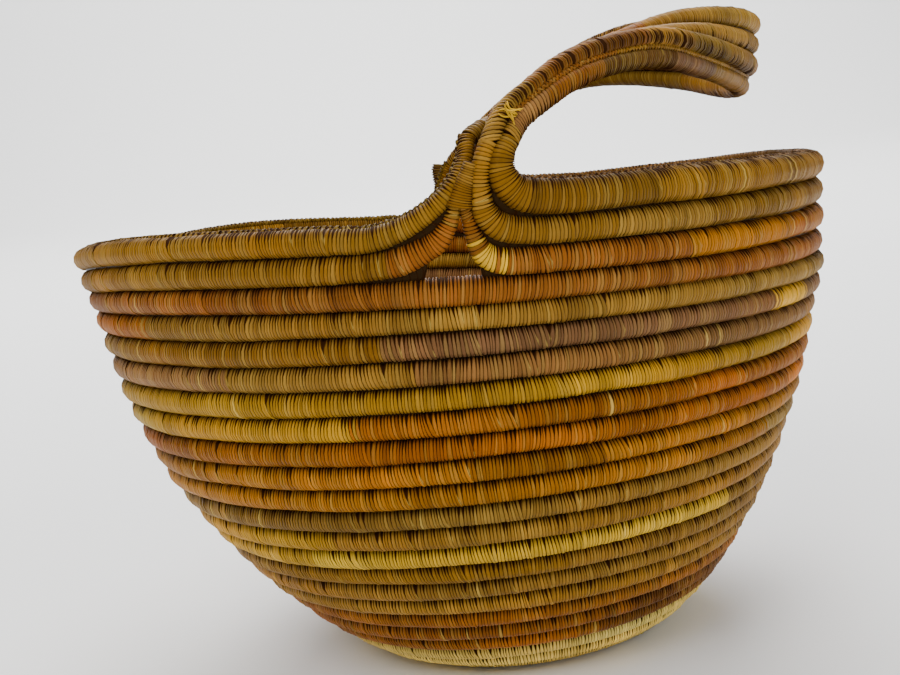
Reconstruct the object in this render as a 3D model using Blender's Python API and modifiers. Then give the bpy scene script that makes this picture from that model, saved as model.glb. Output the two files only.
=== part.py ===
"""A coiled gathering basket, modelled piece by piece in metres with +Z up.

The real basket is one long bundle of plant stems, wrapped with dyed palm strips and sewn to
itself row by row: a flat start, a rounded wall, and a rim whose rows leave the wall at two
roots and run together as the bail handle. The near root is on -Y and the handle leans to +X.
"""
import math

import bmesh
import bpy
import numpy as np

# Driving sizes of the bowl, in metres
wall_radius = 0.172         # axis to coil centre at the root line, the lowest line the handle reaches
wall_length = 0.2413         # along the wall from the root line to the edge of the flat base
coil_diameter = 0.01016
row_gap = 0.0005            # clearance between neighbouring rows
rim_coil_diameter = 0.0115  # the last rows are sewn over a fatter bundle
end_gap = 0.0005            # clearance where one length of coil butts against the next
start_knot_radius = 0.0070
start_knot_height = 0.0086

# How far this hand-made bowl is out of true, in metres
side_dip = 0.0106           # the +X side of the rim hangs this much below its middle
back_dip = 0.0090           # the same for the far side
far_sag = 0.0095            # the far side sags this much more, most to the right of its root
far_sag_degrees = 160.0
left_sag = 0.0030           # and the left side, a little behind its middle, this much
left_sag_degrees = 245.0
base_offset = 0.0183        # the base sits this far to +X of the rim's middle

# Driving sizes of the handle, in metres
neck_strand_diameter = 0.0066
arch_strand_diameter = 0.0094
strand_gap = 0.0008
binding_root_diameter = 0.0072
binding_tip_diameter = 0.0030
knot_overhang = 0.0030      # how far the neck's tie reaches past the strands it crosses
knot_thickness = 0.0030
touch_gap = 0.0003          # clearance between pieces that rest on one another
route_spacing = 0.0045      # between points where a coil bends out of the rim
arch_spacing = 0.0110       # between points along the arch
joint_lead = 0.0012         # a coil runs straight for this much where it butts against the next
weld_distance = 0.00001     # points of one mesh nearer than this are joined

# Counts and small shares
steps_per_turn = 24
table_angles = 72           # the wall is worked out at this many angles, a multiple of the above
coil_sides_step = 1         # bevel resolution of the wall's coil, which makes it six-sided
rim_sides_step = 2          # the same for the rim and the handle, eight-sided
knot_arc_steps = 5
tie_index = 2               # the point of the middle strand that the pale tie crosses
tie_wrap_share = 0.2        # how far the tie's ends bend back over the strands
flat_cut_share = 0.1        # the base is worn flat by this share of the coil's diameter
fade_share = 0.15           # the wall's stretch fades out over this share of its length, at the base
wall_samples = 1101         # points along the wall's tables
table_start_share = -0.6    # the tables run from above the root line, as a share of the wall's length
table_end_share = 1.6       # and past the base's centre
lean_attempts = 8
curve_samples = 60          # fine points to each station of a route
trim_share = 0.3            # a point nearer a trimmed end than this share of a step is left out
row_lead_share = 0.2        # a route leaves its row at least this share of a step early
rounding = 1e-9
palm_roughness = 0.55

# The dyes, as the photograph shows them
colours = {
    "top_rust_coil": (0.40, 0.13, 0.03),
    "olive_coil": (0.26, 0.16, 0.05),
    "brown_coil": (0.15, 0.07, 0.03),
    "yellow_coil": (0.56, 0.32, 0.08),
    "orange_coil": (0.45, 0.16, 0.04),
    "khaki_coil": (0.33, 0.19, 0.06),
    "pale_straw_coil": (0.58, 0.39, 0.14),
    "amber_coil": (0.46, 0.22, 0.06),
    "rust_coil": (0.30, 0.08, 0.03),
    "base_coil": (0.62, 0.44, 0.17),
    "start_knot": (0.62, 0.44, 0.17),
    "left_upper_rim_coil": (0.30, 0.17, 0.05),
    "left_lower_rim_coil": (0.42, 0.16, 0.04),
    "right_lower_rim_coil": (0.45, 0.16, 0.04),
    "right_middle_rim_coil": (0.32, 0.19, 0.06),
    "right_upper_rim_coil": (0.27, 0.15, 0.05),
    "outer_handle_strand": (0.38, 0.19, 0.05),
    "core_handle_strand": (0.38, 0.19, 0.05),
    "middle_handle_strand": (0.36, 0.18, 0.05),
    "inner_handle_strand": (0.22, 0.10, 0.03),
    "near_binding": (0.33, 0.20, 0.06),
    "neck_tie": (0.60, 0.42, 0.14),
}

# The wall's lean from upright, in degrees, at shares of the wall's length below the root line
length_shares = np.array([-0.56, -0.16, 0.0, 0.177, 0.354, 0.48, 0.60, 0.72, 0.84, 0.93, 1.0])
lean_degrees = np.array([0.0, 4.0, 10.7, 10.7, 20.3, 30.0, 34.5, 41.7, 49.0, 77.5, 90.0])

# Where each dyed length of coil ends, as shares of all the turns from the root row to the centre
band_shares = [
    ("top_rust_coil", -0.020, 0.022),
    ("olive_coil", 0.022, 0.059),
    ("brown_coil", 0.059, 0.139),
    ("yellow_coil", 0.139, 0.176),
    ("orange_coil", 0.176, 0.327),
    ("khaki_coil", 0.327, 0.390),
    ("pale_straw_coil", 0.390, 0.448),
    ("amber_coil", 0.448, 0.564),
    ("rust_coil", 0.564, 0.717),
    ("base_coil", 0.717, 1.0),
]

row_pitch = coil_diameter + row_gap
fine_spacing = route_spacing / 3
rim_pitch = rim_coil_diameter + row_gap
knot_shift = row_pitch / 4  # the start knot sits this far off the centre, away from the coil's end


def stretch_fade(length):
    """How fully the wall's stretch acts at a length: it fades out toward the base."""
    return np.clip((wall_length - length) / (wall_length * fade_share), 0, 1)


def summed_wall(length, lean, stretch=1.0):
    """Radius and height along a wall with these leans, the part below the root line stretched."""
    step = (length[1] - length[0]) * (1 + (length > 0) * stretch_fade(length) * (stretch - 1))
    radius = -np.cumsum(np.sin(lean) * step, axis=-1)
    height = -np.cumsum(np.cos(lean) * step, axis=-1)
    root = int(np.argmin(np.abs(length)))
    edge = int(np.argmin(np.abs(length - wall_length)))
    radius += wall_radius - radius[..., root:root + 1]
    height -= height[..., edge:edge + 1]
    return radius, height, root, edge


def wall_profile():
    """Length, radius, height and lean down the wall of a true bowl."""
    length = np.linspace(table_start_share, table_end_share, wall_samples) * wall_length
    lean = np.radians(np.interp(length / wall_length, length_shares, lean_degrees))
    radius, height = summed_wall(length, lean)[:2]
    return length, radius, height, lean


def untrue_wall():
    """Radius and height of the hand-made wall at equal angles and along its length, and its stretch.

    A side whose rim hangs low, or whose base lies near, is shorter: its rows lie closer and the
    coil is thinner there by the same stretch. Two waves of lean, solved at each angle, bring
    the wall from its place at the root line to the base's edge.
    """
    angle = np.arange(table_angles) * 2 * math.pi / table_angles
    sag = far_sag * np.clip(np.cos(angle - math.radians(far_sag_degrees)), 0, 1) ** 4
    sag += left_sag * np.clip(np.cos(angle - math.radians(left_sag_degrees)), 0, 1) ** 4
    dip = side_dip * np.sin(angle) - back_dip * np.cos(angle) + sag
    radius, height, root, edge = summed_wall(profile_length, profile_lean)
    wanted = np.stack([radius[edge] + base_offset * np.sin(angle), height[root] - dip], -1)
    chord = np.hypot(wall_radius - wanted[:, 0], wanted[:, 1])
    ratio = chord / math.hypot(wall_radius - radius[edge], height[root])
    stretch = 1 + (ratio - 1)[:, None] / (1 - fade_share / 2)
    share = np.clip(profile_length / wall_length, 0, 1)
    waves = np.sin(math.pi * share) * np.stack([1 - share, share])
    amounts = np.zeros((table_angles, 2))
    step = profile_length[1] - profile_length[0]
    for attempt in range(lean_attempts):
        lean = profile_lean + amounts @ waves
        radius, height, root, edge = summed_wall(profile_length, lean, stretch)
        missing = wanted - np.stack([radius[:, edge], height[:, root]], -1)
        effect = np.stack([-np.cos(lean) @ waves.T, -np.sin(lean) @ waves.T], 1) * step
        amounts += np.linalg.solve(effect, missing[..., None])[..., 0]
    return radius, height, stretch[:, 0]


profile_length, profile_radius, profile_height, profile_lean = wall_profile()
table_radius, table_height, table_stretch = untrue_wall()
base_height = coil_diameter * (0.5 - flat_cut_share)
root_height = float(np.interp(0.0, profile_length, profile_height)) + base_height


def table_read(table, angle, length):
    """A table's value between its angles and lengths."""
    turn = np.mod(angle / (2 * math.pi), 1.0) * table_angles
    low = np.floor(turn + rounding).astype(int)
    along = (length - profile_length[0]) / (profile_length[1] - profile_length[0])
    step = np.clip(np.floor(along).astype(int), 0, table.shape[1] - 2)
    values = [table[index % table_angles, step] * (1 - along + step)
              + table[index % table_angles, step + 1] * (along - step) for index in (low, low + 1)]
    return values[0] + (values[1] - values[0]) * (turn - low)


def wall_point(angle, length, inward=0.0):
    """The place at an angle from the near root and a length down the wall, sunk inward."""
    lean = np.interp(length, profile_length, profile_lean)
    radius = table_read(table_radius, angle, length) - inward * np.cos(lean)
    height = table_read(table_height, angle, length) + inward * np.sin(lean) + base_height
    share = np.clip(length / wall_length, 0, 1)
    aside = base_offset * np.cos(angle) * share ** 2 * (3 - 2 * share)
    across = radius * np.sin(angle) + aside * np.cos(angle)
    along = -radius * np.cos(angle) + aside * np.sin(angle)
    return np.stack(np.broadcast_arrays(across, along, height), -1)


def row_length(turns):
    """Length down the wall of the coil's centre, counted in turns below the root row."""
    rows = turns + 0.5
    return np.where(rows < 0, rows * rim_pitch, rows * row_pitch)


def total_turns():
    """Turns from the row under the near root down to the start knot at the base's centre."""
    inner = start_knot_radius - knot_shift + end_gap + coil_diameter / 2
    end_length = np.interp(-inner, -profile_radius, profile_length)
    return float(end_length / row_pitch - 0.5)


def thickness(turn):
    """The coil's diameter: the wall's stretch acts on it, and it swells into the rim's rows."""
    place = np.mod(-turn, 1.0) * table_angles
    stretch = np.interp(place, np.arange(table_angles + 1), np.append(table_stretch, table_stretch[0]))
    wall_coil = coil_diameter * (1 + (stretch - 1) * stretch_fade(row_length(turn)))
    swell = np.clip(-2 * (turn + 0.5), 0, 1)
    return wall_coil + (rim_coil_diameter - wall_coil) * swell


def coil_path(first_turn, last_turn):
    """The coil between two turns, straight between equal angles: points, diameters, leans."""
    first, last = first_turn * steps_per_turn, last_turn * steps_per_turn
    inner = np.arange(math.floor(first) + 1, math.ceil(last))
    steps = np.concatenate([[first], inner, [last]])
    low = np.floor(steps + rounding)
    share = (steps - low)[:, None]
    ends = [wall_point(-2 * math.pi * turn, row_length(turn))
            for turn in (low / steps_per_turn, (low + 1) / steps_per_turn)]
    turns = steps / steps_per_turn
    lean = np.interp(row_length(turns), profile_length, profile_lean)
    return np.column_stack([ends[0] + (ends[1] - ends[0]) * share, thickness(turns), lean])


def band_turn(share):
    """A dye change, moved to the middle of one of the coil's straight steps."""
    return (round(share * total_turns() * steps_per_turn - 0.5) + 0.5) / steps_per_turn


def travelled(path):
    """Distance along a path at each of its points."""
    return np.concatenate([[0], np.cumsum(np.linalg.norm(np.diff(path[:, :3], axis=0), axis=1))])


def resampled(path, distances):
    """The path's columns read at the given distances along it."""
    travel = travelled(path)
    return np.stack([np.interp(distances, travel, column) for column in path.T], -1)


def smooth_path(stations, spacing):
    """A curve through the stations by cubic Hermite pieces, read at an even spacing."""
    stations = np.asarray(stations, float)
    chord = np.linalg.norm(np.diff(stations[:, :3], axis=0), axis=1)
    knots = np.concatenate([[0], np.cumsum(np.sqrt(chord))])
    slope = np.gradient(stations, knots, axis=0)
    fine = np.linspace(0, knots[-1], curve_samples * len(stations))
    index = np.clip(np.searchsorted(knots, fine) - 1, 0, len(knots) - 2)
    width = (knots[index + 1] - knots[index])[:, None]
    share = (fine - knots[index])[:, None] / width
    curve = (1 + 2 * share) * (1 - share) ** 2 * stations[index]
    curve += share ** 2 * (3 - 2 * share) * stations[index + 1]
    curve += share * (1 - share) ** 2 * width * slope[index]
    curve -= share ** 2 * (1 - share) * width * slope[index + 1]
    reach = travelled(curve)[-1]
    count = max(3, int(round(reach / spacing)) + 1)
    return resampled(curve, np.linspace(0, reach, count))


def trimmed(path, start, end):
    """The same path with a length taken off at each end."""
    travel = travelled(path)
    low, high = start, travel[-1] - end
    margin = trim_share * (travel[1] - travel[0])
    inner = travel[(travel > low + margin) & (travel < high - margin)]
    return resampled(path, np.concatenate([[low], inner, [high]]))


# Routes at the roots. Each point is (along the rim, above the root line, inward) in rim
# pitches from the root's middle, then the share of the way from rim to neck thickness
near_outer_shares = [(-2.5, 1.52, 0, 0), (-1.4, 1.87, 0, 0.2), (-0.5, 2.43, 0, 0.5),
                     (0.03, 3.05, 0.14, 0.8), (0.50, 3.70, 0.60, 1.0), (0.92, 4.25, 1.20, 1.0)]
near_end_shares = [(-2.5, 0.53, 0, 0), (-1.75, 0.66, 0, 0.1), (-1.05, 1.0, 0, 0.4),
                   (-0.50, 1.42, 0, 0.7), (-0.14, 1.78, 0, 1.0), (0.04, 2.04, 0, 1.2)]
near_stub_shares = [(2.5, 0.49, 0, 0.05), (1.55, 0.49, 0, 0.3), (1.02, 0.62, 0, 0.55), (0.80, 0.98, 0, 0.9),
                    (0.70, 1.4, 0, 1.1), (0.62, 1.88, 0, 1.3)]
near_middle_shares = [(3.6, 1.52, 0, 0), (2.4, 1.53, 0, 0), (1.65, 1.67, 0, 0.2), (1.26, 2.05, 0, 0.5),
                      (1.25, 2.75, 0, 0.8), (1.38, 3.5, 0.03, 0.9), (1.62, 4.15, 0.22, 1.0)]
near_inner_shares = [(4.6, 2.55, 0, 0), (3.3, 2.54, 0, 0), (2.45, 2.71, 0, 0.2), (2.11, 3.18, 0, 0.5),
                     (2.17, 3.7, 0.06, 0.8), (2.44, 4.25, 0.26, 1.0)]
near_core_shares = [(1.18, 2.9, 0.78, 1.0), (1.42, 3.5, 0.84, 1.0), (1.74, 4.15, 0.94, 1.0)]
near_binding_shares = [(0.44, 2.54, 0, 0), (0.60, 2.85, 0, 0.4), (0.79, 3.25, 0, 0.8), (0.94, 3.6, 0, 1.0)]

far_outer_shares = [(-2.6, 1.02, 0, 0), (-1.6, 1.06, 0, 0.1), (-0.80, 1.4, 0, 0.45), (-0.45, 2.05, 0, 0.8),
                    (-0.30, 2.75, 0.1, 1.0), (0.05, 3.45, 0.45, 1.0), (0.70, 4.15, 0.90, 1.0)]
far_core_shares = [(3.4, 0.98, 0, 0), (2.3, 1.0, 0, 0.1), (1.45, 1.2, 0, 0.4), (0.96, 1.75, 0, 0.8),
                   (0.88, 2.4, 0.05, 1.0), (1.05, 3.1, 0.28, 1.0), (1.50, 3.95, 0.60, 1.0)]
far_middle_shares = [(4.6, 1.97, 0, 0), (3.5, 2.0, 0, 0.1), (2.65, 2.2, 0, 0.4), (2.12, 2.7, 0, 0.8),
                     (1.98, 3.4, 0, 1.0), (2.20, 4.2, 0, 1.0)]
far_inner_shares = [(5.6, 2.96, 0, 0), (4.5, 3.0, 0, 0.1), (3.70, 3.2, 0, 0.4), (3.27, 3.75, 0.03, 0.8),
                    (3.32, 4.4, 0.12, 1.0)]


def root_route(shares, far=False):
    """A root route as points and diameters in metres, on the wall carried on upward."""
    along, above, inward, slim = np.array(shares, float).T
    angle = along * rim_pitch / wall_radius
    if far:
        angle = math.pi - angle
    points = wall_point(angle, -above * rim_pitch, inward * rim_pitch)
    diameter = rim_coil_diameter + slim * (neck_strand_diameter - rim_coil_diameter)
    return np.column_stack([points, diameter])


# The arch of the handle: the third strand's places as shares of the wall radius, from the
# rim's middle and the root line; the way the strands lie side by side there, from the outer
# strand to the inner one; how far the inner strand folds under, in degrees; and the share of
# the way from neck to arch thickness
arch_shares = [
    ((0.155, -0.975, 0.400), (0.10, -0.97, 0.15), 84, 0.0),
    ((0.215, -0.945, 0.440), (0.04, -0.98, 0.16), 88, 0.0),
    ((0.290, -0.890, 0.480), (0.00, -0.98, 0.16), 88, 0.1),
    ((0.390, -0.800, 0.508), (0.00, -0.99, 0.12), 84, 0.2),
    ((0.540, -0.650, 0.520), (0.00, -0.99, -0.06), 80, 0.4),
    ((0.710, -0.440, 0.484), (0.00, -0.86, -0.50), 70, 0.7),
    ((0.845, -0.200, 0.438), (-0.05, -0.40, -0.91), 50, 0.9),
    ((0.910, 0.020, 0.413), (-0.10, 0.00, -1.00), 18, 1.0),
    ((0.905, 0.250, 0.410), (-0.10, 0.10, -0.99), 12, 1.0),
    ((0.800, 0.520, 0.445), (0.00, 0.20, -0.98), 12, 0.9),
    ((0.665, 0.700, 0.468), (0.05, 0.45, -0.89), 25, 0.6),
    ((0.520, 0.820, 0.465), (0.10, 0.80, -0.60), 45, 0.3),
    ((0.390, 0.890, 0.425), (0.25, 0.93, -0.25), 50, 0.1),
    ((0.270, 0.945, 0.365), (0.60, 0.78, -0.15), 40, 0.0),
]


def arch_strands():
    """Stations of the four strands along the arch, each a list of points and diameters."""
    middle = np.array([place for place, side, fold, full in arch_shares]) * wall_radius
    middle[:, 2] += root_height
    side = np.array([side for place, side, fold, full in arch_shares])
    fold = np.radians([fold for place, side, fold, full in arch_shares])[:, None]
    full = np.array([full for place, side, fold, full in arch_shares])
    ends = root_route(near_middle_shares)[-1:, :3], root_route(far_middle_shares, True)[-1:, :3]
    along = np.gradient(np.vstack([ends[0], middle, ends[1]]), axis=0)[1:-1]
    along /= np.linalg.norm(along, axis=1)[:, None]
    side = side - np.sum(side * along, axis=1)[:, None] * along
    side /= np.linalg.norm(side, axis=1)[:, None]
    outward = np.cross(side, along)
    diameter = neck_strand_diameter + full * (arch_strand_diameter - neck_strand_diameter)
    apart = (diameter + strand_gap)[:, None]
    inner = middle + apart * (np.cos(fold) * side - np.sin(fold) * outward)
    strands = [middle - 2 * apart * side, middle - apart * side, middle, inner]
    return [np.column_stack([strand, diameter]) for strand in strands]


def row_station(turn):
    """The rim row's centre and diameter at a turn count."""
    return np.array([[*wall_point(-2 * math.pi * turn, row_length(turn)), thickness(turn)]])


def root_turn(root, shares, side):
    """The last of the wall's angles, in turns, before a route starts on one side of its root."""
    reach = abs(shares[0][0]) * rim_pitch / wall_radius / (2 * math.pi)
    return root + side * math.ceil(reach * steps_per_turn + row_lead_share) / steps_per_turn


def from_row(root, shares, side, far=False):
    """Stations that leave a rim row and follow a root route, two of the row's own first."""
    turn = root_turn(root, shares, side)
    rows = [row_station(turn + side / steps_per_turn), row_station(turn)]
    return np.vstack(rows + [root_route(shares, far)])


def split_at(path, place):
    """Cut a path in two at its point nearest to a place."""
    index = int(np.argmin(np.linalg.norm(path[:, :3] - place, axis=1)))
    return path[:index + 1], path[index:]


def even(path, spacing, lead=0.0):
    """The same path read at an even spacing, with a short straight lead at each end."""
    reach = travelled(path)[-1]
    inner = np.linspace(lead, reach - lead, max(3, int(round(reach / spacing)) + 1))
    return resampled(path, np.concatenate([[0.0], inner, [reach]]) if lead else inner)


def strand_pieces(near, arch, far):
    """One strand from the near rim to the far rim, cut where its routes meet the arch.

    Where a route starts on a rim row, its first station only gives the direction and goes.
    """
    whole = smooth_path(np.vstack([near, arch, far[::-1]]), fine_spacing)
    near_piece, rest = split_at(whole, near[-1, :3])
    strand, far_piece = split_at(rest, far[-1, :3])
    return split_at(near_piece, near[1, :3])[1], strand, split_at(far_piece, far[1, :3])[0]


def rim_path(first, first_turn, last_turn, last):
    """A rim coil: the piece that leads into its row, the row itself, and the piece after it."""
    row = coil_path(first_turn, last_turn)[:, :4]
    pieces = [even(first, route_spacing, joint_lead)[:-1], row]
    if last is not None:
        pieces.append(even(last, route_spacing, joint_lead)[1:])
    return np.vstack(pieces)


def rim_and_handle_paths():
    """Every rim coil and handle strand as points and diameters, by node name."""
    outer, core, middle, inner = arch_strands()
    paths = {}

    # The left upper rim coil rises at both roots and crosses as the outer strand
    near = from_row(-2.0, near_outer_shares, 1)
    far = from_row(-1.5, far_outer_shares, -1, True)
    low, strand, high = strand_pieces(near, outer, far)
    turns = root_turn(-2.0, near_outer_shares, 1), root_turn(-1.5, far_outer_shares, -1)
    paths["left_upper_rim_coil"] = rim_path(low[::-1], *turns, high[::-1])
    paths["outer_handle_strand"] = even(strand, arch_spacing, joint_lead)

    # The right lower one starts in a short stub and crosses as the core, which ends in the binding
    stub = from_row(-1.0, near_stub_shares, -1)
    stub = split_at(smooth_path(stub, fine_spacing), stub[1, :3])[1]
    far = from_row(-1.5, far_core_shares, 1, True)
    whole = smooth_path(np.vstack([root_route(near_core_shares), core, far[::-1]]), fine_spacing)
    strand, high = split_at(whole, far[-1, :3])
    high = split_at(high, far[1, :3])[0]
    turns = root_turn(-1.5, far_core_shares, 1), root_turn(-1.0, near_stub_shares, -1)
    paths["right_lower_rim_coil"] = rim_path(high, *turns, stub)
    paths["core_handle_strand"] = even(strand, arch_spacing, joint_lead)

    # The right middle and upper ones rise at both roots
    for name, strand_name, root, near_shares, far_shares, arch in (
            ("right_middle_rim_coil", "middle_handle_strand", -2.0,
             near_middle_shares, far_middle_shares, middle),
            ("right_upper_rim_coil", "inner_handle_strand", -3.0,
             near_inner_shares, far_inner_shares, inner)):
        near = from_row(root, near_shares, -1)
        far = from_row(root - 0.5, far_shares, 1, True)
        low, strand, high = strand_pieces(near, arch, far)
        turns = root_turn(root - 0.5, far_shares, 1), root_turn(root, near_shares, -1)
        paths[name] = rim_path(high, *turns, low)
        paths[strand_name] = even(strand, arch_spacing, joint_lead)

    # The left lower one leaves the wall and ends in the near root
    end = from_row(-1.0, near_end_shares, 1)
    end = split_at(smooth_path(end, fine_spacing), end[1, :3])[1]
    last_turn = band_turn(band_shares[0][1])
    turns = root_turn(-1.0, near_end_shares, 1), last_turn
    paths["left_lower_rim_coil"] = rim_path(end[::-1], *turns, None)
    return {name: trimmed(path, end_gap / 2, end_gap / 2) for name, path in paths.items()}


def binding_path():
    """The wedge of fine wrapping that hides where strands start at the near root."""
    path = root_route(near_binding_shares)
    slim = np.array(near_binding_shares)[:, 3]
    path[:, 3] = binding_root_diameter + slim * (binding_tip_diameter - binding_root_diameter)
    return smooth_path(path, route_spacing / 2)


def neck_tie_path(middle, inner):
    """The pale tie laid across the middle and inner strands, on the front of the neck."""
    place = middle[tie_index, :3]
    fine = even(inner, touch_gap)[:, :3]
    across = fine[np.argmin(np.linalg.norm(fine - place, axis=1))] - place
    apart = np.linalg.norm(across)
    across = across / apart
    along = middle[tie_index + 1, :3] - middle[tie_index - 1, :3]
    front = np.cross(across, along)
    front /= np.linalg.norm(front)
    rise = middle[tie_index, 3] / 2 + touch_gap + knot_thickness / 2
    ends = np.array([-knot_overhang, 0.0, apart / 2, apart, apart + knot_overhang])
    sunk = np.array([tie_wrap_share, 0.0, 0.0, 0.0, tie_wrap_share]) * knot_overhang
    points = place + ends[:, None] * across + (rise - sunk)[:, None] * front
    return np.column_stack([points, np.full(len(points), knot_thickness)])


# Every piece is measured against its neighbours along its centre line; its facets lie inside that
def least_gap(first, second):
    """The least clearance between two tubes, on points under a millimetre apart."""
    fine = [even(path, end_gap * 2) for path in (first, second)]
    apart = np.linalg.norm(fine[0][:, None, :3] - fine[1][None, :, :3], axis=2)
    return float((apart - (fine[0][:, None, 3] + fine[1][None, :, 3]) / 2).min())


def butted(first, second):
    """Whether one tube's end meets the other's end squarely, where the end gap parts them."""
    ends = first[[0, -1], None, :3] - second[None, [0, -1], :3]
    return np.linalg.norm(ends, axis=-1).min() < end_gap * 2


def print_gaps(coil_first, coil_last, tubes):
    """The least gap between the wall's rows, and the close pairs among the other tubes."""
    turns = np.arange(coil_first, coil_last - 1, 1 / steps_per_turn)
    upper = wall_point(-2 * math.pi * turns, row_length(turns))
    lower = wall_point(-2 * math.pi * (turns + 1), row_length(turns + 1))
    thick = (thickness(turns) + thickness(turns + 1)) / 2
    gap = (np.linalg.norm(upper - lower, axis=1) - thick).min()
    print(f"least gap between rows of the wall: {gap * 1000:.2f} mm")
    names = list(tubes)
    for index, first in enumerate(names):
        for second in names[index + 1:]:
            gap = least_gap(tubes[first], tubes[second])
            if gap < strand_gap and not butted(tubes[first], tubes[second]):
                print(f"gap from {first} to {second}: {gap * 1000:.2f} mm")


def new_collection(name):
    collection = bpy.data.collections.new(name)
    bpy.context.scene.collection.children.link(collection)
    return collection


def make_material(name, colour):
    """A dyed palm material: the colour from the photo, matt with a slight sheen."""
    material = bpy.data.materials.new(name)
    material.use_nodes = True
    shader = material.node_tree.nodes["Principled BSDF"]
    shader.inputs["Base Color"].default_value = (*colour, 1.0)
    shader.inputs["Roughness"].default_value = palm_roughness
    shader.inputs["Metallic"].default_value = 0.0
    return material


def add_tube(name, path, sides_step, twist, tilt, collection):
    """A closed tube along a path, its thickness following the path's diameters."""
    curve = bpy.data.curves.new(name, "CURVE")
    curve.dimensions = "3D"
    curve.twist_mode = twist
    curve.bevel_depth = path[:, 3].max() / 2
    curve.bevel_resolution = sides_step
    curve.use_fill_caps = True
    spline = curve.splines.new("POLY")
    spline.points.add(len(path) - 1)
    radius = path[:, 3] / path[:, 3].max()
    for point, place, share, turn in zip(spline.points, path[:, :3], radius, tilt):
        point.co = (*place, 1.0)
        point.radius = share
        point.tilt = turn
    piece = bpy.data.objects.new(name, curve)
    curve.materials.append(make_material(name + "_palm", colours[name]))
    collection.objects.link(piece)
    return piece


def add_band(name, first_turn, last_turn, collection):
    """One dyed length of the wall's coil, six-sided, its corners toward the rows beside it."""
    path = trimmed(coil_path(first_turn, last_turn), end_gap / 2, end_gap / 2)
    tilt = math.radians(30) - path[:, 4]
    return add_tube(name, path, coil_sides_step, "Z_UP", tilt, collection)


def as_mesh(piece, collection):
    """The tube as a mesh with its caps welded on, in place of the curve."""
    bpy.context.view_layer.update()
    evaluated = piece.evaluated_get(bpy.context.evaluated_depsgraph_get())
    mesh = bpy.data.meshes.new_from_object(evaluated)
    shape = bmesh.new()
    shape.from_mesh(mesh)
    bmesh.ops.remove_doubles(shape, verts=shape.verts, dist=weld_distance)
    shape.to_mesh(mesh)
    shape.free()
    name, matrix = piece.name, piece.matrix_world.copy()
    bpy.data.objects.remove(piece)
    solid = bpy.data.objects.new(name, mesh)
    solid.matrix_world = matrix
    collection.objects.link(solid)
    return solid


def cut_base_flat(base, cutters):
    """Take off what the basket's weight has worn flat: everything below the floor plane."""
    depth = coil_diameter
    bpy.ops.mesh.primitive_cube_add(size=1.0, location=(0.0, 0.0, -depth / 2))
    cutter = bpy.context.active_object
    cutter.name = "floor_cutter"
    cutter.scale = (wall_radius * 2, wall_radius * 2, depth)
    for old in list(cutter.users_collection):
        old.objects.unlink(cutter)
    cutters.objects.link(cutter)
    cutter.hide_render = True
    cutter.display_type = "WIRE"
    cut = base.modifiers.new("worn flat", "BOOLEAN")
    cut.operation = "DIFFERENCE"
    cut.solver = "EXACT"
    cut.object = cutter


def add_start_knot(collection):
    """The tight start at the base's centre: a low turned button, flat below."""
    radius, height = start_knot_radius, start_knot_height
    arc = np.linspace(0, math.pi / 2, knot_arc_steps)
    edge = [(radius - height / 2 * (1 - math.sin(a)), height / 2 + height / 2 * math.cos(a)) for a in arc]
    outline = [(0.0, height)] + edge + [(radius, 0.0), (0.0, 0.0)]
    mesh = bpy.data.meshes.new("start_knot")
    edges = [(index, index + 1) for index in range(len(outline) - 1)]
    mesh.from_pydata([(x, 0.0, z) for x, z in outline], edges, [])
    knot = bpy.data.objects.new("start_knot", mesh)
    end_angle = -2 * math.pi * total_turns()
    knot.location = (base_offset - knot_shift * math.sin(end_angle), knot_shift * math.cos(end_angle), 0.0)
    mesh.materials.append(make_material("start_knot_palm", colours["start_knot"]))
    collection.objects.link(knot)
    turning = knot.modifiers.new("turned", "SCREW")
    turning.steps = turning.render_steps = steps_per_turn
    turning.use_merge_vertices = True
    turning.merge_threshold = weld_distance
    turning.use_smooth_shade = False
    return knot


for leftover in list(bpy.data.objects):
    bpy.data.objects.remove(leftover)
basket = new_collection("coiled_gathering_basket")
cutters = new_collection("cutters")

for name, first_share, last_share in band_shares:
    last_turn = total_turns() if last_share == 1 else band_turn(last_share)
    band = add_band(name, band_turn(first_share), last_turn, basket)
cut_base_flat(as_mesh(band, basket), cutters)
add_start_knot(basket)

tubes = rim_and_handle_paths()
tubes["near_binding"] = binding_path()
tubes["neck_tie"] = neck_tie_path(tubes["middle_handle_strand"], tubes["inner_handle_strand"])
for name, path in tubes.items():
    add_tube(name, path, rim_sides_step, "MINIMUM", np.zeros(len(path)), basket)
print_gaps(band_turn(band_shares[0][1]), total_turns(), tubes)
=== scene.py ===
"""The coiled gathering basket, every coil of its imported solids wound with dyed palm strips."""
import math

import bpy
import numpy as np
from mathutils import Matrix


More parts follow.
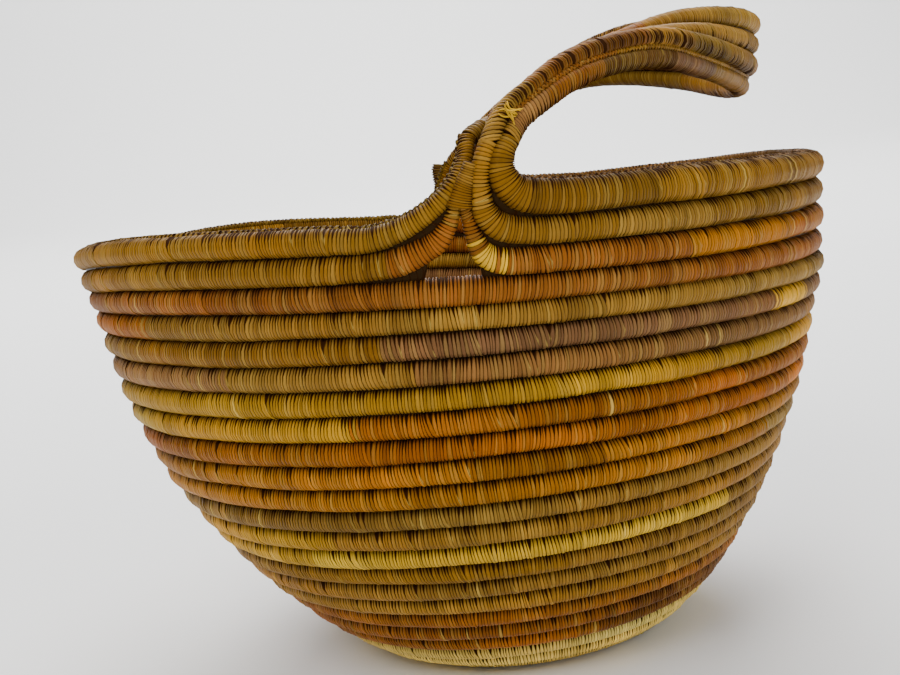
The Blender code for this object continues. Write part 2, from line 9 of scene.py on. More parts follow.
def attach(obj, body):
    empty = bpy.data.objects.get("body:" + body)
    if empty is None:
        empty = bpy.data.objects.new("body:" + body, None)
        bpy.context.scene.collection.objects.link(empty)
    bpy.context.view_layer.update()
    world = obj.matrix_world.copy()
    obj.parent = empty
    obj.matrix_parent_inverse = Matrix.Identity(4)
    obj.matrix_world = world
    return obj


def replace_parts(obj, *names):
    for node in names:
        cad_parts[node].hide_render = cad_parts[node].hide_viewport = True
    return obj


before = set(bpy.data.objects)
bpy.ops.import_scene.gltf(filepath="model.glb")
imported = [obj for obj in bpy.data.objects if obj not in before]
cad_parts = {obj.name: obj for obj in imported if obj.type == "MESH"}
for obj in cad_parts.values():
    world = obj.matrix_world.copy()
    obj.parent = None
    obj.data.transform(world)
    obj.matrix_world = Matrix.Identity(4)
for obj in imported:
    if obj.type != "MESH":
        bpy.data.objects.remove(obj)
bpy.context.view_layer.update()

# The room: a seamless pale floor that curves up behind the basket, under soft studio light.
# The camera stands a little above the rim and leans, because the photograph shows the basket
# rolled over to its right.
camera_place = (-0.0045, -0.7424, 0.2769)
camera_drop = math.radians(9.77)
camera_roll = math.radians(-7.06)
back = (0.0, -math.cos(camera_drop), math.sin(camera_drop))
level_up = np.array([0.0, math.sin(camera_drop), math.cos(camera_drop)])
right = math.cos(camera_roll) * np.array([1.0, 0.0, 0.0]) + math.sin(camera_roll) * level_up
upward = np.cross(back, right)
camera = bpy.data.objects.new("camera", bpy.data.cameras.new("camera"))
camera.data.lens = 60
camera.data.sensor_width = 36


def stand(thing, place, across, upward, back):
    """Stand the camera or a light in its place, turned so that its three axes lie along these."""
    turned = Matrix(np.column_stack([across, upward, back]).tolist()).to_4x4()
    thing.matrix_world = Matrix.Translation(place) @ turned
    bpy.context.scene.collection.objects.link(thing)


stand(camera, camera_place, right, upward, back)
bpy.context.scene.camera = camera


class Wire:
    """A socket in a material. Arithmetic on it adds Math nodes; node() adds any other kind."""

    def __init__(self, tree, socket=None):
        self.tree, self.socket = tree, socket

    def node(self, kind, settings=None, inputs=None, output=0):
        """Add a node: its settings first, then its sockets' values or links."""
        new = self.tree.nodes.new("ShaderNode" + kind)
        for name, value in (settings or {}).items():
            setattr(new, name, value)
        for name, value in (inputs or {}).items():
            socket = new.inputs[name] if isinstance(name, int) else [
                entry for entry in new.inputs if entry.name == name and entry.enabled][0]
            if isinstance(value, Wire):
                self.tree.links.new(value.socket, socket)
            else:
                socket.default_value = value
        if not isinstance(output, int):
            output = [index for index, entry in enumerate(new.outputs)
                      if entry.name == output and entry.enabled][0]
        return Wire(self.tree, new.outputs[output])

    def math(self, operation, first, second=0.0):
        """A Math node on two numbers or wires."""
        return self.node("Math", {"operation": operation}, {0: first, 1: second})

    def __add__(self, other):
        return self.math("ADD", self, other)

    def __sub__(self, other):
        return self.math("SUBTRACT", self, other)

    def __rsub__(self, other):
        return self.math("SUBTRACT", other, self)

    def __mul__(self, other):
        return self.math("MULTIPLY", self, other)

    __radd__ = __add__
    __rmul__ = __mul__


def new_finish(name, roughness):
    """A material with its Principled shader, and the wire that its other nodes hang on."""
    material = bpy.data.materials.new(name)
    material.use_nodes = True
    shader = material.node_tree.nodes["Principled BSDF"]
    shader.inputs["Roughness"].default_value = roughness
    return material, shader, Wire(material.node_tree)


floor_width, floor_depth, wall_rise, sweep_radius = 6.0, 3.2, 3.0, 0.9
sweep = np.radians(np.linspace(0, 90, 24))
run = floor_depth + sweep_radius * np.append(np.sin(sweep), 1)
run = np.insert(run, 0, -floor_depth)
rise = np.concatenate([[0.0], sweep_radius * (1 - np.cos(sweep)), [wall_rise]])
side = np.array([-floor_width, floor_width])
room_points = np.stack(np.broadcast_arrays(side[None, :], run[:, None], rise[:, None]), -1)
room_mesh = bpy.data.meshes.new("studio_floor")
low = np.arange(len(run) - 1) * 2
room_mesh.from_pydata(room_points.reshape(-1, 3), [], np.stack([low, low + 1, low + 3, low + 2], -1))
room_mesh.polygons.foreach_set("use_smooth", np.ones(len(low), bool))
room = bpy.data.objects.new("studio_floor", room_mesh)
paper, shader, wires = new_finish("pale_paper", 0.9)
shader.inputs["Base Color"].default_value = (0.90, 0.90, 0.89, 1)
room_mesh.materials.append(paper)
bpy.context.scene.collection.objects.link(room)


def hang_light(name, place, aim, size, power, colour=(1, 1, 1)):
    """A soft square light that faces the basket."""
    light = bpy.data.objects.new(name, bpy.data.lights.new(name, "AREA"))
    light.data.size = size
    light.data.energy = power
    light.data.color = colour
    axis = np.array(place) - np.array(aim)
    axis /= np.linalg.norm(axis)
    across = np.cross((0.0, 0.0, 1.0), axis)
    across /= np.linalg.norm(across)
    stand(light, place, across, np.cross(axis, across), axis)


basket_middle, basket_waist, far_floor = (0, 0, 0.12), (0, 0, 0.10), (0, 2.9, 0)
warm_white, cool_white = (1.0, 0.98, 0.95), (0.96, 0.98, 1.0)
hang_light("key_light", (-0.7, -1.5, 1.7), basket_middle, 1.1, 34, warm_white)
hang_light("fill_light", (1.6, -1.2, 0.9), basket_middle, 1.2, 14, cool_white)
hang_light("top_light", (0.1, 0.4, 2.0), basket_waist, 1.6, 26)
hang_light("floor_light", (0.0, 2.2, 2.4), far_floor, 2.5, 170)
world = bpy.data.worlds.new("studio_air")
world.use_nodes = True
world.node_tree.nodes["Background"].inputs["Color"].default_value = (0.93, 0.95, 1.0, 1)
world.node_tree.nodes["Background"].inputs["Strength"].default_value = 0.42
bpy.context.scene.world = world

# The bowl: one long coil of plant stems from the rim down to the base's centre, wrapped all
# the way in dyed palm strips that also stitch each row to the one above. Its sizes are the
# solids' own, and each dyed length of it takes the place of a solid.
wall_radius = 0.172
wall_length = 0.2413
coil_diameter = 0.01016
row_gap = 0.0005
rim_coil_diameter = 0.0115
end_gap = 0.0005
start_knot_radius = 0.0070
start_knot_height = 0.0086
side_dip = 0.0106
back_dip = 0.0090
far_sag = 0.0095
far_sag_degrees = 160.0
left_sag = 0.0030
left_sag_degrees = 245.0
base_offset = 0.0183
steps_per_turn = 24
table_angles = 72
wall_samples = 1101
table_start_share = -0.6
table_end_share = 1.6
lean_attempts = 8
flat_cut_share = 0.1
fade_share = 0.15
length_shares = np.array([-0.56, -0.16, 0.0, 0.177, 0.354, 0.48, 0.60, 0.72, 0.84, 0.93, 1.0])
lean_degrees = np.array([0.0, 4.0, 10.7, 10.7, 20.3, 30.0, 34.5, 41.7, 49.0, 77.5, 90.0])
band_shares = [
    ("top_rust_coil", -0.020, 0.022),
    ("olive_coil", 0.022, 0.059),
    ("brown_coil", 0.059, 0.139),
    ("yellow_coil", 0.139, 0.176),
    ("orange_coil", 0.176, 0.327),
    ("khaki_coil", 0.327, 0.390),
    ("pale_straw_coil", 0.390, 0.448),
    ("amber_coil", 0.448, 0.564),
    ("rust_coil", 0.564, 0.717),
    ("base_coil", 0.717, 1.0),
]
row_pitch = coil_diameter + row_gap
rim_pitch = rim_coil_diameter + row_gap
knot_shift = row_pitch / 4

# The strips: their width, the dents between them, and a splice now and then, where a new strip
# starts with a lump, the strips after it fan out, and pale flecks of the bundle show
strip_width = 0.0014
strip_variation = 0.17
strip_rings = np.array([0.0, 0.3, 0.72])
sides = 12
dent_depth = 0.00024
notch_depth = 0.00062
# Painted shade in the dye: darker in the dents between strips, more so toward the row above, and darker
# toward the rows above and below.
dent_shade, notch_shade, seam_shade = 0.30, 0.40, 0.40
row_fullness = 0.0003
splice_chance = 0.045
splice_lump = 0.00022
fan_lean, fan_strips = 0.2, 6.0
fleck_shade, fleck_chance = 0.50, 0.45
path_spacing = 0.0005

# The hand's unevenness: a spacing along the coil and an amount, of thickness, drift and lean
thickness_wave = 0.03, 0.00014
thickness_spread = 0.00006
outward_wave = 0.04, 0.00018
upward_wave = 0.05, 0.00010
slow_lean_wave = 0.05, 0.07
quick_lean_wave = 0.0045, 0.045

# The dyes' unevenness: each splice's tone, each strip's, waves of fading and of warmth, and the
# share of straw that shows through, with a bare strip here and there
tone_spread, strip_spread = 0.15, 0.10
fading_wave = 0.012, 0.09
warmth_wave = 0.05, 0.05
warmth = np.array([1.0, 0.0, -2.0])
bare_mean, bare_spread, bare_limit = 0.01, 0.045, 0.15
bare_strip, bare_strip_chance = 0.3, 0.005

# The dyes, and where each begins down the bowl, in turns from the row under the near root
dyes = {
    "umber": (0.080, 0.034, 0.0050),
    "rust orange": (0.213, 0.066, 0.0086),
    "orange": (0.260, 0.074, 0.0015),
    "amber": (0.300, 0.106, 0.0017),
    "ochre": (0.221, 0.104, 0.0072),
    "khaki ochre": (0.188, 0.085, 0.0063),
    "khaki": (0.224, 0.112, 0.0141),
    "olive": (0.180, 0.097, 0.0100),
    "brown": (0.199, 0.090, 0.0240),
    "purple brown": (0.156, 0.070, 0.0264),
    "yellow": (0.362, 0.181, 0.0059),
    "pale yellow": (0.560, 0.319, 0.0163),
    "rust red": (0.280, 0.091, 0.0080),
    "dark rust": (0.165, 0.055, 0.0060),
    "straw": (0.890, 0.625, 0.1330),
    "dark ochre": (0.273, 0.126, 0.0121),
}
wall_dyes = [
    (-9.0, "rust orange"), (0.42, "khaki"), (1.14, "orange"), (1.45, "purple brown"),
    (1.825, "pale yellow"), (1.855, "purple brown"), (2.03, "khaki ochre"), (2.35, "khaki"),
    (2.62, "brown"), (3.02, "khaki"), (3.10, "brown"), (3.45, "khaki"), (3.60, "yellow"),
    (4.45, "orange"), (5.05, "yellow"), (5.45, "orange"), (6.40, "amber"), (7.55, "khaki"),
    (7.85, "amber"), (8.45, "khaki"), (9.40, "dark ochre"), (10.08, "yellow"), (10.55, "ochre"),
    (10.87, "pale yellow"), (11.10, "yellow"), (11.32, "ochre"), (11.50, "khaki"), (11.97, "ochre"),
    (12.40, "khaki"), (13.10, "dark ochre"), (14.55, "rust red"), (15.70, "dark rust"),
    (15.95, "rust red"), (16.72, "dark rust"), (16.95, "rust red"), (17.72, "straw"),
]
base_height = coil_diameter * (0.5 - flat_cut_share)


def stretch_fade(length):
    """How fully the wall's stretch acts at a length: a line that falls to nothing at the base."""
    return np.clip((wall_length - length) / (wall_length * fade_share), 0, 1)


def summed_wall(length, lean, stretch=1.0):
    """Radius and height along a wall with these leans: running sums of their sines and cosines."""
    step = (length[1] - length[0]) * (1 + (length > 0) * stretch_fade(length) * (stretch - 1))
    radius = -np.cumsum(np.sin(lean) * step, axis=-1)
    height = -np.cumsum(np.cos(lean) * step, axis=-1)
    root = int(np.argmin(np.abs(length)))
    edge = int(np.argmin(np.abs(length - wall_length)))
    radius += wall_radius - radius[..., root:root + 1]
    height -= height[..., edge:edge + 1]
    return radius, height, root, edge


def untrue_wall():
    """Radius, height and stretch of the hand-made wall at equal angles.

    The stretch is the ratio of chords from rim to base, and two waves of lean, sines of the
    length that weigh its upper or its lower part, are solved for the chord's two ends.
    """
    angle = np.arange(table_angles) * 2 * math.pi / table_angles
    sag = far_sag * np.clip(np.cos(angle - math.radians(far_sag_degrees)), 0, 1) ** 4
    sag += left_sag * np.clip(np.cos(angle - math.radians(left_sag_degrees)), 0, 1) ** 4
    dip = side_dip * np.sin(angle) - back_dip * np.cos(angle) + sag
    radius, height, root, edge = summed_wall(profile_length, profile_lean)
    wanted = np.stack([radius[edge] + base_offset * np.sin(angle), height[root] - dip], -1)
    chord = np.hypot(wall_radius - wanted[:, 0], wanted[:, 1])
    ratio = chord / math.hypot(wall_radius - radius[edge], height[root])
    stretch = 1 + (ratio - 1)[:, None] / (1 - fade_share / 2)
    share = np.clip(profile_length / wall_length, 0, 1)
    waves = np.sin(math.pi * share) * np.stack([1 - share, share])
    amounts = np.zeros((table_angles, 2))
    step = profile_length[1] - profile_length[0]
    for attempt in range(lean_attempts):
        lean = profile_lean + amounts @ waves
        radius, height, root, edge = summed_wall(profile_length, lean, stretch)
        missing = wanted - np.stack([radius[:, edge], height[:, root]], -1)
        effect = np.stack([-np.cos(lean) @ waves.T, -np.sin(lean) @ waves.T], 1) * step
        amounts += np.linalg.solve(effect, missing[..., None])[..., 0]
    return radius, height, stretch[:, 0]


profile_length = np.linspace(table_start_share, table_end_share, wall_samples) * wall_length
profile_lean = np.radians(np.interp(profile_length / wall_length, length_shares, lean_degrees))
profile_radius, profile_height = summed_wall(profile_length, profile_lean)[:2]
table_radius, table_height, table_stretch = untrue_wall()
root_height = float(np.interp(0.0, profile_length, profile_height)) + base_height


def table_read(table, angle, length):
    """A table's value between its angles and lengths, by the four entries around it."""
    turn = np.mod(angle / (2 * math.pi), 1.0) * table_angles
    low = np.floor(turn).astype(int)
    along = (length - profile_length[0]) / (profile_length[1] - profile_length[0])
    step = np.clip(np.floor(along).astype(int), 0, table.shape[1] - 2)
    values = [table[index % table_angles, step] * (1 - along + step)
              + table[index % table_angles, step + 1] * (along - step) for index in (low, low + 1)]
    return values[0] + (values[1] - values[0]) * (turn - low)


def wall_point(angle, length, inward=0.0):
    """The place at an angle from the near root and a length down the wall, sunk inward."""
    lean = np.interp(length, profile_length, profile_lean)
    radius = table_read(table_radius, angle, length) - inward * np.cos(lean)
    height = table_read(table_height, angle, length) + inward * np.sin(lean) + base_height
    share = np.clip(length / wall_length, 0, 1)
    aside = base_offset * np.cos(angle) * share ** 2 * (3 - 2 * share)
    across = radius * np.sin(angle) + aside * np.cos(angle)
    along = -radius * np.cos(angle) + aside * np.sin(angle)
    return np.stack(np.broadcast_arrays(across, along, height), -1)


def wall_outward(angle, length):
    """The way out of the wall: across its level line and its line of fall."""
    step, turn = coil_diameter / 2, coil_diameter / wall_radius
    fall = wall_point(angle, length - step) - wall_point(angle, length + step)
    level = wall_point(angle + turn, length) - wall_point(angle - turn, length)
    outward = np.cross(level, fall)
    return outward / np.linalg.norm(outward, axis=-1, keepdims=True)


def row_length(turns):
    """Length down the wall of the coil's centre, counted in turns below the root row."""
    rows = turns + 0.5
    return np.where(rows < 0, rows * rim_pitch, rows * row_pitch)


def total_turns():
    """Turns from the row under the near root down to the start knot at the base's centre."""
    inner = start_knot_radius - knot_shift + end_gap + coil_diameter / 2
    end_length = np.interp(-inner, -profile_radius, profile_length)
    return float(end_length / row_pitch - 0.5)


def thickness(turns):
    """The coil's diameter: the wall's stretch acts on it, and it swells into the rim's rows."""
    place = np.mod(-turns, 1.0) * table_angles
    stretch = np.interp(place, np.arange(table_angles + 1), np.append(table_stretch, table_stretch[0]))
    wall_coil = coil_diameter * (1 + (stretch - 1) * stretch_fade(row_length(turns)))
    swell = np.clip(-2 * (turns + 0.5), 0, 1)
    return wall_coil + (rim_coil_diameter - wall_coil) * swell


def snug(turns):
    """The wrapped coil's width, which fills the wall between the rows above and below it."""
    angle, length = -2 * math.pi * turns, row_length(turns)
    above = wall_point(angle, length) - wall_point(angle, row_length(turns - 1))
    below = wall_point(angle, length) - wall_point(angle, row_length(np.minimum(turns + 1, total_turns())))
    apart = np.stack([np.linalg.norm(above, axis=-1), np.linalg.norm(below, axis=-1)])
    last = np.clip(turns - total_turns() + 1, 0, 1)
    pitch = apart[0] * (0.5 + last / 2) + apart[1] * (0.5 - last / 2)
    return np.clip(pitch, thickness(turns), thickness(turns) + 2 * row_gap)


def band_turn(share):
    """Where one dyed solid ends and the next begins, in turns."""
    return (round(share * total_turns() * steps_per_turn - 0.5) + 0.5) / steps_per_turn


# The hand-made wall row by row, from the turn where each list begins: the top rows sink and thin
# at the left, sink a little in front, and stand out at the right. Each place is the middle and
# the width of a bell over the angle from the near root.
left_start, left_middle, left_width = -1.79, -1.606, 0.593
left_sink = 0.0060, 0.0053, 0.0023, 0.0008, 0
left_squeeze = 0.0004, 0.0019, 0.0023, 0.0011, 0
front_start, front_middle, front_width = -4.08, 0.35, 0.593
front_sink = 0, 0.0014, 0.0024, 0.0020, 0.0014, 0.0006, 0
right_start, right_middle, right_width = -3.236, 1.484, 0.62
right_bulge = 0.0012, 0.0010, 0.0024, 0.0037, 0.0062, 0.0054, 0.0039, 0.0030, 0.0024, 0.0020, 0.0016, 0
left_upper_slack, left_upper_drop = 0.0016, 0.55
left_upper_turns = -1.999, -1.998, -1.55, -1.5
right_upper_swell = 0.0022
right_upper_turns = -3.1, -2.7


def hand_shape(angle, turns):
    """How the real top rows leave the even wall: how far they sink, swell in width and stand out.

    Each is a bell over the angle, exp(-((angle - middle) / width) ** 2), times an amount that
    is read off between rows by the turn count.
    """
    angle = (angle + math.pi) % (2 * math.pi) - math.pi
    left = np.exp(-((angle - left_middle) / left_width) ** 2)
    front = np.exp(-((angle - front_middle) / front_width) ** 2)
    right = np.exp(-((angle - right_middle) / right_width) ** 2)
    left_rows = left_start + np.arange(len(left_sink))
    front_rows = front_start + np.arange(len(front_sink))
    right_rows = right_start + np.arange(len(right_bulge))
    slack = np.interp(turns, left_upper_turns, [0, 1, 1, 0])
    sink = left * np.interp(turns, left_rows, left_sink) + front * np.interp(turns, front_rows, front_sink)
    sink += slack * left_upper_slack * left_upper_drop
    swell = -left * np.interp(turns, left_rows, left_squeeze) - slack * left_upper_slack
    swell += right_upper_swell * front * np.interp(turns, right_upper_turns, [1, 0])
    return sink, swell, right * np.interp(turns, right_rows, right_bulge)


def row_place(angle, length, turns):
    """A row's centre and its way out, with the hand-made sinking and standing out, and its swell."""
    sink, swell, bulge = hand_shape(angle, turns)
    outward = wall_outward(angle, length)
    place = wall_point(angle, length) + bulge[..., None] * outward
    place = place - sink[..., None] * np.array([0, 0, 1])
    return place, outward, swell


def coil_line(first_turn, last_turn):
    """The coil's centre line between two turns: place, way out, diameter and turn."""
    count = int((last_turn - first_turn) * 2 * math.pi * wall_radius / path_spacing)
    turns = np.linspace(first_turn, last_turn, max(count, 2))
    place, outward, swell = row_place(-2 * math.pi * turns, row_length(turns), turns)
    return np.column_stack([place, outward, snug(turns) + swell, turns])


def travelled(path):
    """Distance along a path at each of its points."""
    return np.concatenate([[0], np.cumsum(np.linalg.norm(np.diff(path[:, :3], axis=0), axis=1))])


def slow_wave(travel, rng, wave):
    """A hand's slow unevenness: random values at an even spacing, joined by cosine ramps."""
    spacing, amount = wave
    knots = rng.normal(0, amount, int(travel[-1] / spacing) + 3)
    place = travel / spacing
    low = place.astype(int)
    share = (1 - np.cos(math.pi * (place - low))) / 2
    return knots[low] * (1 - share) + knots[low + 1] * share


def strip_colours(marks, travel, stops, rng, blur, splice):
    """Each wrap's dye by its mark along the coil; the wraps of one strip share a tone."""
    names = [name for mark, name in stops]
    palette = np.array([dyes[name] for name in names])
    starts = np.array([mark for mark, name in stops])
    pick = np.searchsorted(starts, marks + rng.normal(0, blur, len(marks)), side="right") - 1
    colour = palette[np.clip(pick, 0, len(names) - 1)]
    tones = rng.normal(0, tone_spread, len(marks))[np.cumsum(splice)]
    fade = np.exp(rng.normal(0, strip_spread, len(marks)) + tones + slow_wave(travel, rng, fading_wave))
    bare = np.clip(rng.normal(bare_mean, bare_spread, len(marks)), 0, bare_limit)
    bare += bare_strip * (rng.random(len(marks)) < bare_strip_chance)
    tint = 1 + slow_wave(travel, rng, warmth_wave)[:, None] * warmth
    return (colour * fade[:, None] * tint) * (1 - bare[:, None]) + np.array(dyes["straw"]) * bare[:, None]


def wind(path, stops, seed, width=strip_width, notch=notch_depth, fullness=row_fullness, blur=0.002,
         slant=0.0, zigzag=0.0):
    """Rings of points round a wrapped coil, with each point's dye and each ring's strip number.

    A ring is a circle of the path's diameter in the plane across it. Each strip has three
    rings: a dent where it meets the strip before, and two on its crest. The dent is deeper by
    the notch toward the row above, as the sine of the angle round the coil grows. A strip
    leans when its rings slide along the coil by that sine. Painted shade darkens the dye in the
    dents and toward the rows above and below.
    """
    rng = np.random.default_rng(seed)
    travel = travelled(path)
    count = max(int(travel[-1] / width), 2)
    widths = np.clip(rng.normal(1, strip_variation, count), 0.55, 1.5)
    edges = np.concatenate([[0], np.cumsum(widths)]) * travel[-1] / widths.sum()
    place = np.append((edges[:-1, None] + np.diff(edges)[:, None] * strip_rings).ravel(), edges[-1])
    along = np.gradient(path[:, :3], axis=0)
    line = np.stack([np.interp(place, travel, column) for column in np.hstack([path, along]).T], -1)
    strip = np.minimum(np.arange(len(place)) // 3, count - 1)
    dent = (np.arange(len(place)) % 3 == 0).astype(float)

    along = line[:, 8:] / np.linalg.norm(line[:, 8:], axis=1)[:, None]
    up = np.cross(along, line[:, 3:6])
    up /= np.linalg.norm(up, axis=1)[:, None]
    out = np.cross(up, along)
    angle = 2 * math.pi * np.arange(sides) / sides
    rise = np.sin(angle)
    notched = np.clip((rise - 0.2) / 0.6, 0, 1)
    splice = rng.random(count) < splice_chance
    size = (line[:, 6] + fullness) / 2 + slow_wave(place, rng, thickness_wave)
    size += (rng.normal(0, thickness_spread, count) + splice_lump * splice)[strip]
    size = size[:, None] - dent[:, None] * (dent_depth + notch * notched)
    since = np.arange(count) - np.maximum.accumulate(np.where(splice, np.arange(count), 0))
    lean = slow_wave(place, rng, slow_lean_wave) + slow_wave(place, rng, quick_lean_wave)
    lean += slant + zigzag * (1 - 2 * (strip % 2)) + fan_lean * np.exp(-since / fan_strips)[strip]
    centre = line[:, :3] + slow_wave(place, rng, outward_wave)[:, None] * out
    centre += slow_wave(place, rng, upward_wave)[:, None] * up
    points = centre[:, None] + (size * np.cos(angle))[..., None] * out[:, None]
    points += (size * rise)[..., None] * (up + lean[:, None] * along)[:, None]

    middles = (edges[:-1] + edges[1:]) / 2
    marks = np.interp(middles, travel, path[:, 7])
    colour = strip_colours(marks, middles, stops, rng, blur, splice)
    before = colour[np.maximum(strip - 1, 0)]
    # Painted shade: the dye darkens in the dents, more toward the row above, and toward the rows above and
    # below.
    shade = 1 - dent[:, None] * (dent_shade + notch_shade * notched)
    shade = shade * (1 - seam_shade * np.clip((np.abs(rise) - 0.5) / 0.5, 0, 1) ** 1.5)
    dye_and_shade = np.where(dent[:, None], (colour[strip] + before) / 2, colour[strip])[:, None] * shade[..., None]
    outermost = np.exp(-((angle + 0.3 - 2 * math.pi * (angle > math.pi)) / 0.7) ** 2)
    fleck = rng.random(size.shape) < fleck_chance * outermost
    fleck &= (splice[strip] & (dent > 0))[:, None]
    # The pale straw flecks in the dents are dimmed by half: painted shade.
    dye_and_shade = np.where(fleck[..., None], np.array(dyes["straw"]) * fleck_shade, dye_and_shade)
    numbers = strip + np.append(np.tile(strip_rings, count), 1.0)
    return points, dye_and_shade, numbers


def tube_mesh(name, points, dye_and_shade, wraps):
    """Closed tubes from rings of points: quads between rings that follow, and a flat end each.

    The points are tubes by rings by sides. The dye, with its painted shade, goes into a colour
    attribute, and the strip number and the share of the way round into a UV map.
    """
    tubes, rings, around = points.shape[:3]
    start = np.arange(tubes)[:, None, None] * rings * around
    ring = start + np.arange(rings - 1)[None, :, None] * around
    here = np.arange(around)[None, None, :]
    after = (here + 1) % around
    quads = np.stack([ring + here, ring + after, ring + around + after, ring + around + here], -1)
    ends = [start[:, 0] + here[0, :, ::-1], start[:, 0] + (rings - 1) * around + here[0]]
    corners = np.concatenate([quads.ravel(), ends[0].ravel(), ends[1].ravel()])
    sizes = np.concatenate([np.full(quads.size // 4, 4), np.full(tubes * 2, around)])
    mesh = bpy.data.meshes.new(name)
    mesh.vertices.add(points.size // 3)
    mesh.vertices.foreach_set("co", points.astype(np.float32).ravel())
    mesh.loops.add(len(corners))
    mesh.loops.foreach_set("vertex_index", corners.astype(np.int32))
    mesh.polygons.add(len(sizes))
    mesh.polygons.foreach_set("loop_start", (np.cumsum(sizes) - sizes).astype(np.int32))
    mesh.polygons.foreach_set("use_smooth", np.ones(len(sizes), bool))
    mesh.update(calc_edges=True)

    strip = np.broadcast_to(wraps[:, :-1, None], quads.shape[:3])
    later = np.broadcast_to(wraps[:, 1:, None], quads.shape[:3])
    share = np.broadcast_to(here / around, quads.shape[:3])
    flat = np.stack([np.stack([strip, strip, later, later], -1),
                     np.stack([share, share + 1 / around, share + 1 / around, share], -1)], -1)
    cap = [np.stack([np.repeat(wraps[:, index], around), np.tile(here.ravel() / around, tubes)], -1)
           for index in (0, -1)]
    unwrapped = np.concatenate([flat.reshape(-1, 2), *cap])
    mesh.uv_layers.new(name="wrap").data.foreach_set("uv", unwrapped.astype(np.float32).ravel())
    rgba = np.concatenate([dye_and_shade.reshape(-1, 3), np.ones((points.size // 3, 1))], 1)
    dyed = mesh.color_attributes.new("dye_and_shade", "FLOAT_COLOR", "POINT")
    dyed.data.foreach_set("color", rgba.astype(np.float32).ravel())
    return mesh


# The finish: a waxy gloss, and notches of painted shade whose widths are shares of a strip. Each
# is a dark slit that widens toward the row above, less so toward the row below, and varies from strip to
# strip.
palm_roughness, palm_gloss = 0.45, 0.13
waxy_tint = 1.0, 0.68, 0.30, 1
notch_shadow_colour = 0.022, 0.006, 0.0012, 1
notch_width, lower_notch_share = 0.34, 0.9
upper_notch_start, lower_notch_start = -0.05, 0.35
slit_width, slit_blur = 0.035, 0.06
notch_least, notch_spread = 0.45, 1.6
fibre_stretch = 5.0, 3.0, 1.0
worn_scale = 90.0
fibre_tone, worn_tone = 0.6, 0.5


def palm_finish_and_shade(name):
    """Dyed palm: fine fibres along each strip, worn patches, and dark notches between strips.

    The UV map counts strips one way and runs round the coil the other. A notch is painted shade,
    dark where the distance to the nearest edge of a strip is under its width, and the width grows
    with the square of the sine of the way round, so each notch is a wedge that opens toward the
    row above, and a smaller one toward the row below.
    """
    material, shader, wires = new_finish(name, palm_roughness)
    shader.inputs["Specular IOR Level"].default_value = palm_gloss
    shader.inputs["Specular Tint"].default_value = waxy_tint
    dye_and_shade = wires.node("Attribute", {"attribute_name": "dye_and_shade"}, output="Color")
    wrap = wires.node("UVMap", {"uv_map": "wrap"})
    place = wires.node("TexCoord", output="Object")
    split = wires.node("SeparateXYZ", {}, {"Vector": wrap})
    around = wires.node("SeparateXYZ", {}, {"Vector": wrap}, "Y")
    joint = wires.math("FLOOR", split + 0.5)
    chance = wires.node("TexWhiteNoise", {"noise_dimensions": "1D"}, {"W": joint}, "Value")
    apart = wires.math("ABSOLUTE", split - joint)
    rise = wires.math("SINE", around * (2 * math.pi))
    upper = wires.math("MAXIMUM", rise - upper_notch_start)
    lower = wires.math("MAXIMUM", rise * -1.0 - lower_notch_start)
    opening = upper * upper + lower * lower * lower_notch_share
    width = (opening * notch_width + slit_width) * (chance * chance * notch_spread + notch_least)
    gap = wires.node("MapRange", {"interpolation_type": "SMOOTHSTEP"},
                     {"Value": apart, "From Min": width * 0.45, "From Max": width + slit_blur}, "Result")
    along = wires.node("Mapping", {}, {"Vector": wrap, "Scale": fibre_stretch})
    fibre = wires.node("TexNoise", {"noise_dimensions": "2D"}, {"Vector": along, "Scale": 1.0, "Detail": 3.0})
    worn = wires.node("TexNoise", {}, {"Vector": place, "Scale": worn_scale, "Detail": 3.0, "Roughness": 0.6})
    tone = (fibre - 0.5) * fibre_tone + (worn - 0.5) * worn_tone + 1.0
    toned = wires.node("VectorMath", {"operation": "SCALE"}, {0: dye_and_shade, "Scale": tone})
    # The notches mix toward a near-black brown: painted shade between the strips.
    shaded = wires.node("Mix", {"data_type": "RGBA"}, {"Factor": gap, "A": notch_shadow_colour, "B": toned}, "Result")
    material.node_tree.links.new(shaded.socket, shader.inputs["Base Color"])
    gloss = (worn - 0.5) * 0.35 + (fibre - 0.5) * 0.3 + (palm_roughness + 0.4) - gap * 0.4
    material.node_tree.links.new(gloss.socket, shader.inputs["Roughness"])
    height = fibre * 0.4 + gap
    bump = wires.node("Bump", {}, {"Strength": 0.6, "Distance": 0.0003, "Height": height}, "Normal")
    material.node_tree.links.new(bump.socket, shader.inputs["Normal"])
    return material


palm = palm_finish_and_shade("dyed_palm_and_shade")


def sew_on(name, slot, points, dye_and_shade, wraps):
    """Put one palm tube or several in the scene under its name, on the basket's one body. The slot is not
    used.
    """
    if points.ndim == 3:
        points, dye_and_shade, wraps = points[None], dye_and_shade[None], wraps[None]
    mesh = tube_mesh(name, points, dye_and_shade, wraps)
    mesh.materials.append(palm)
    piece = bpy.data.objects.new(name, mesh)
    bpy.context.scene.collection.objects.link(piece)
    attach(piece, "root")
    return piece


def wrap_solid(node, points, dye_and_shade, wraps):
    """Put one wound coil in the place of its solid."""
    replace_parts(sew_on(node + "_wound", node, points, dye_and_shade, wraps), node)


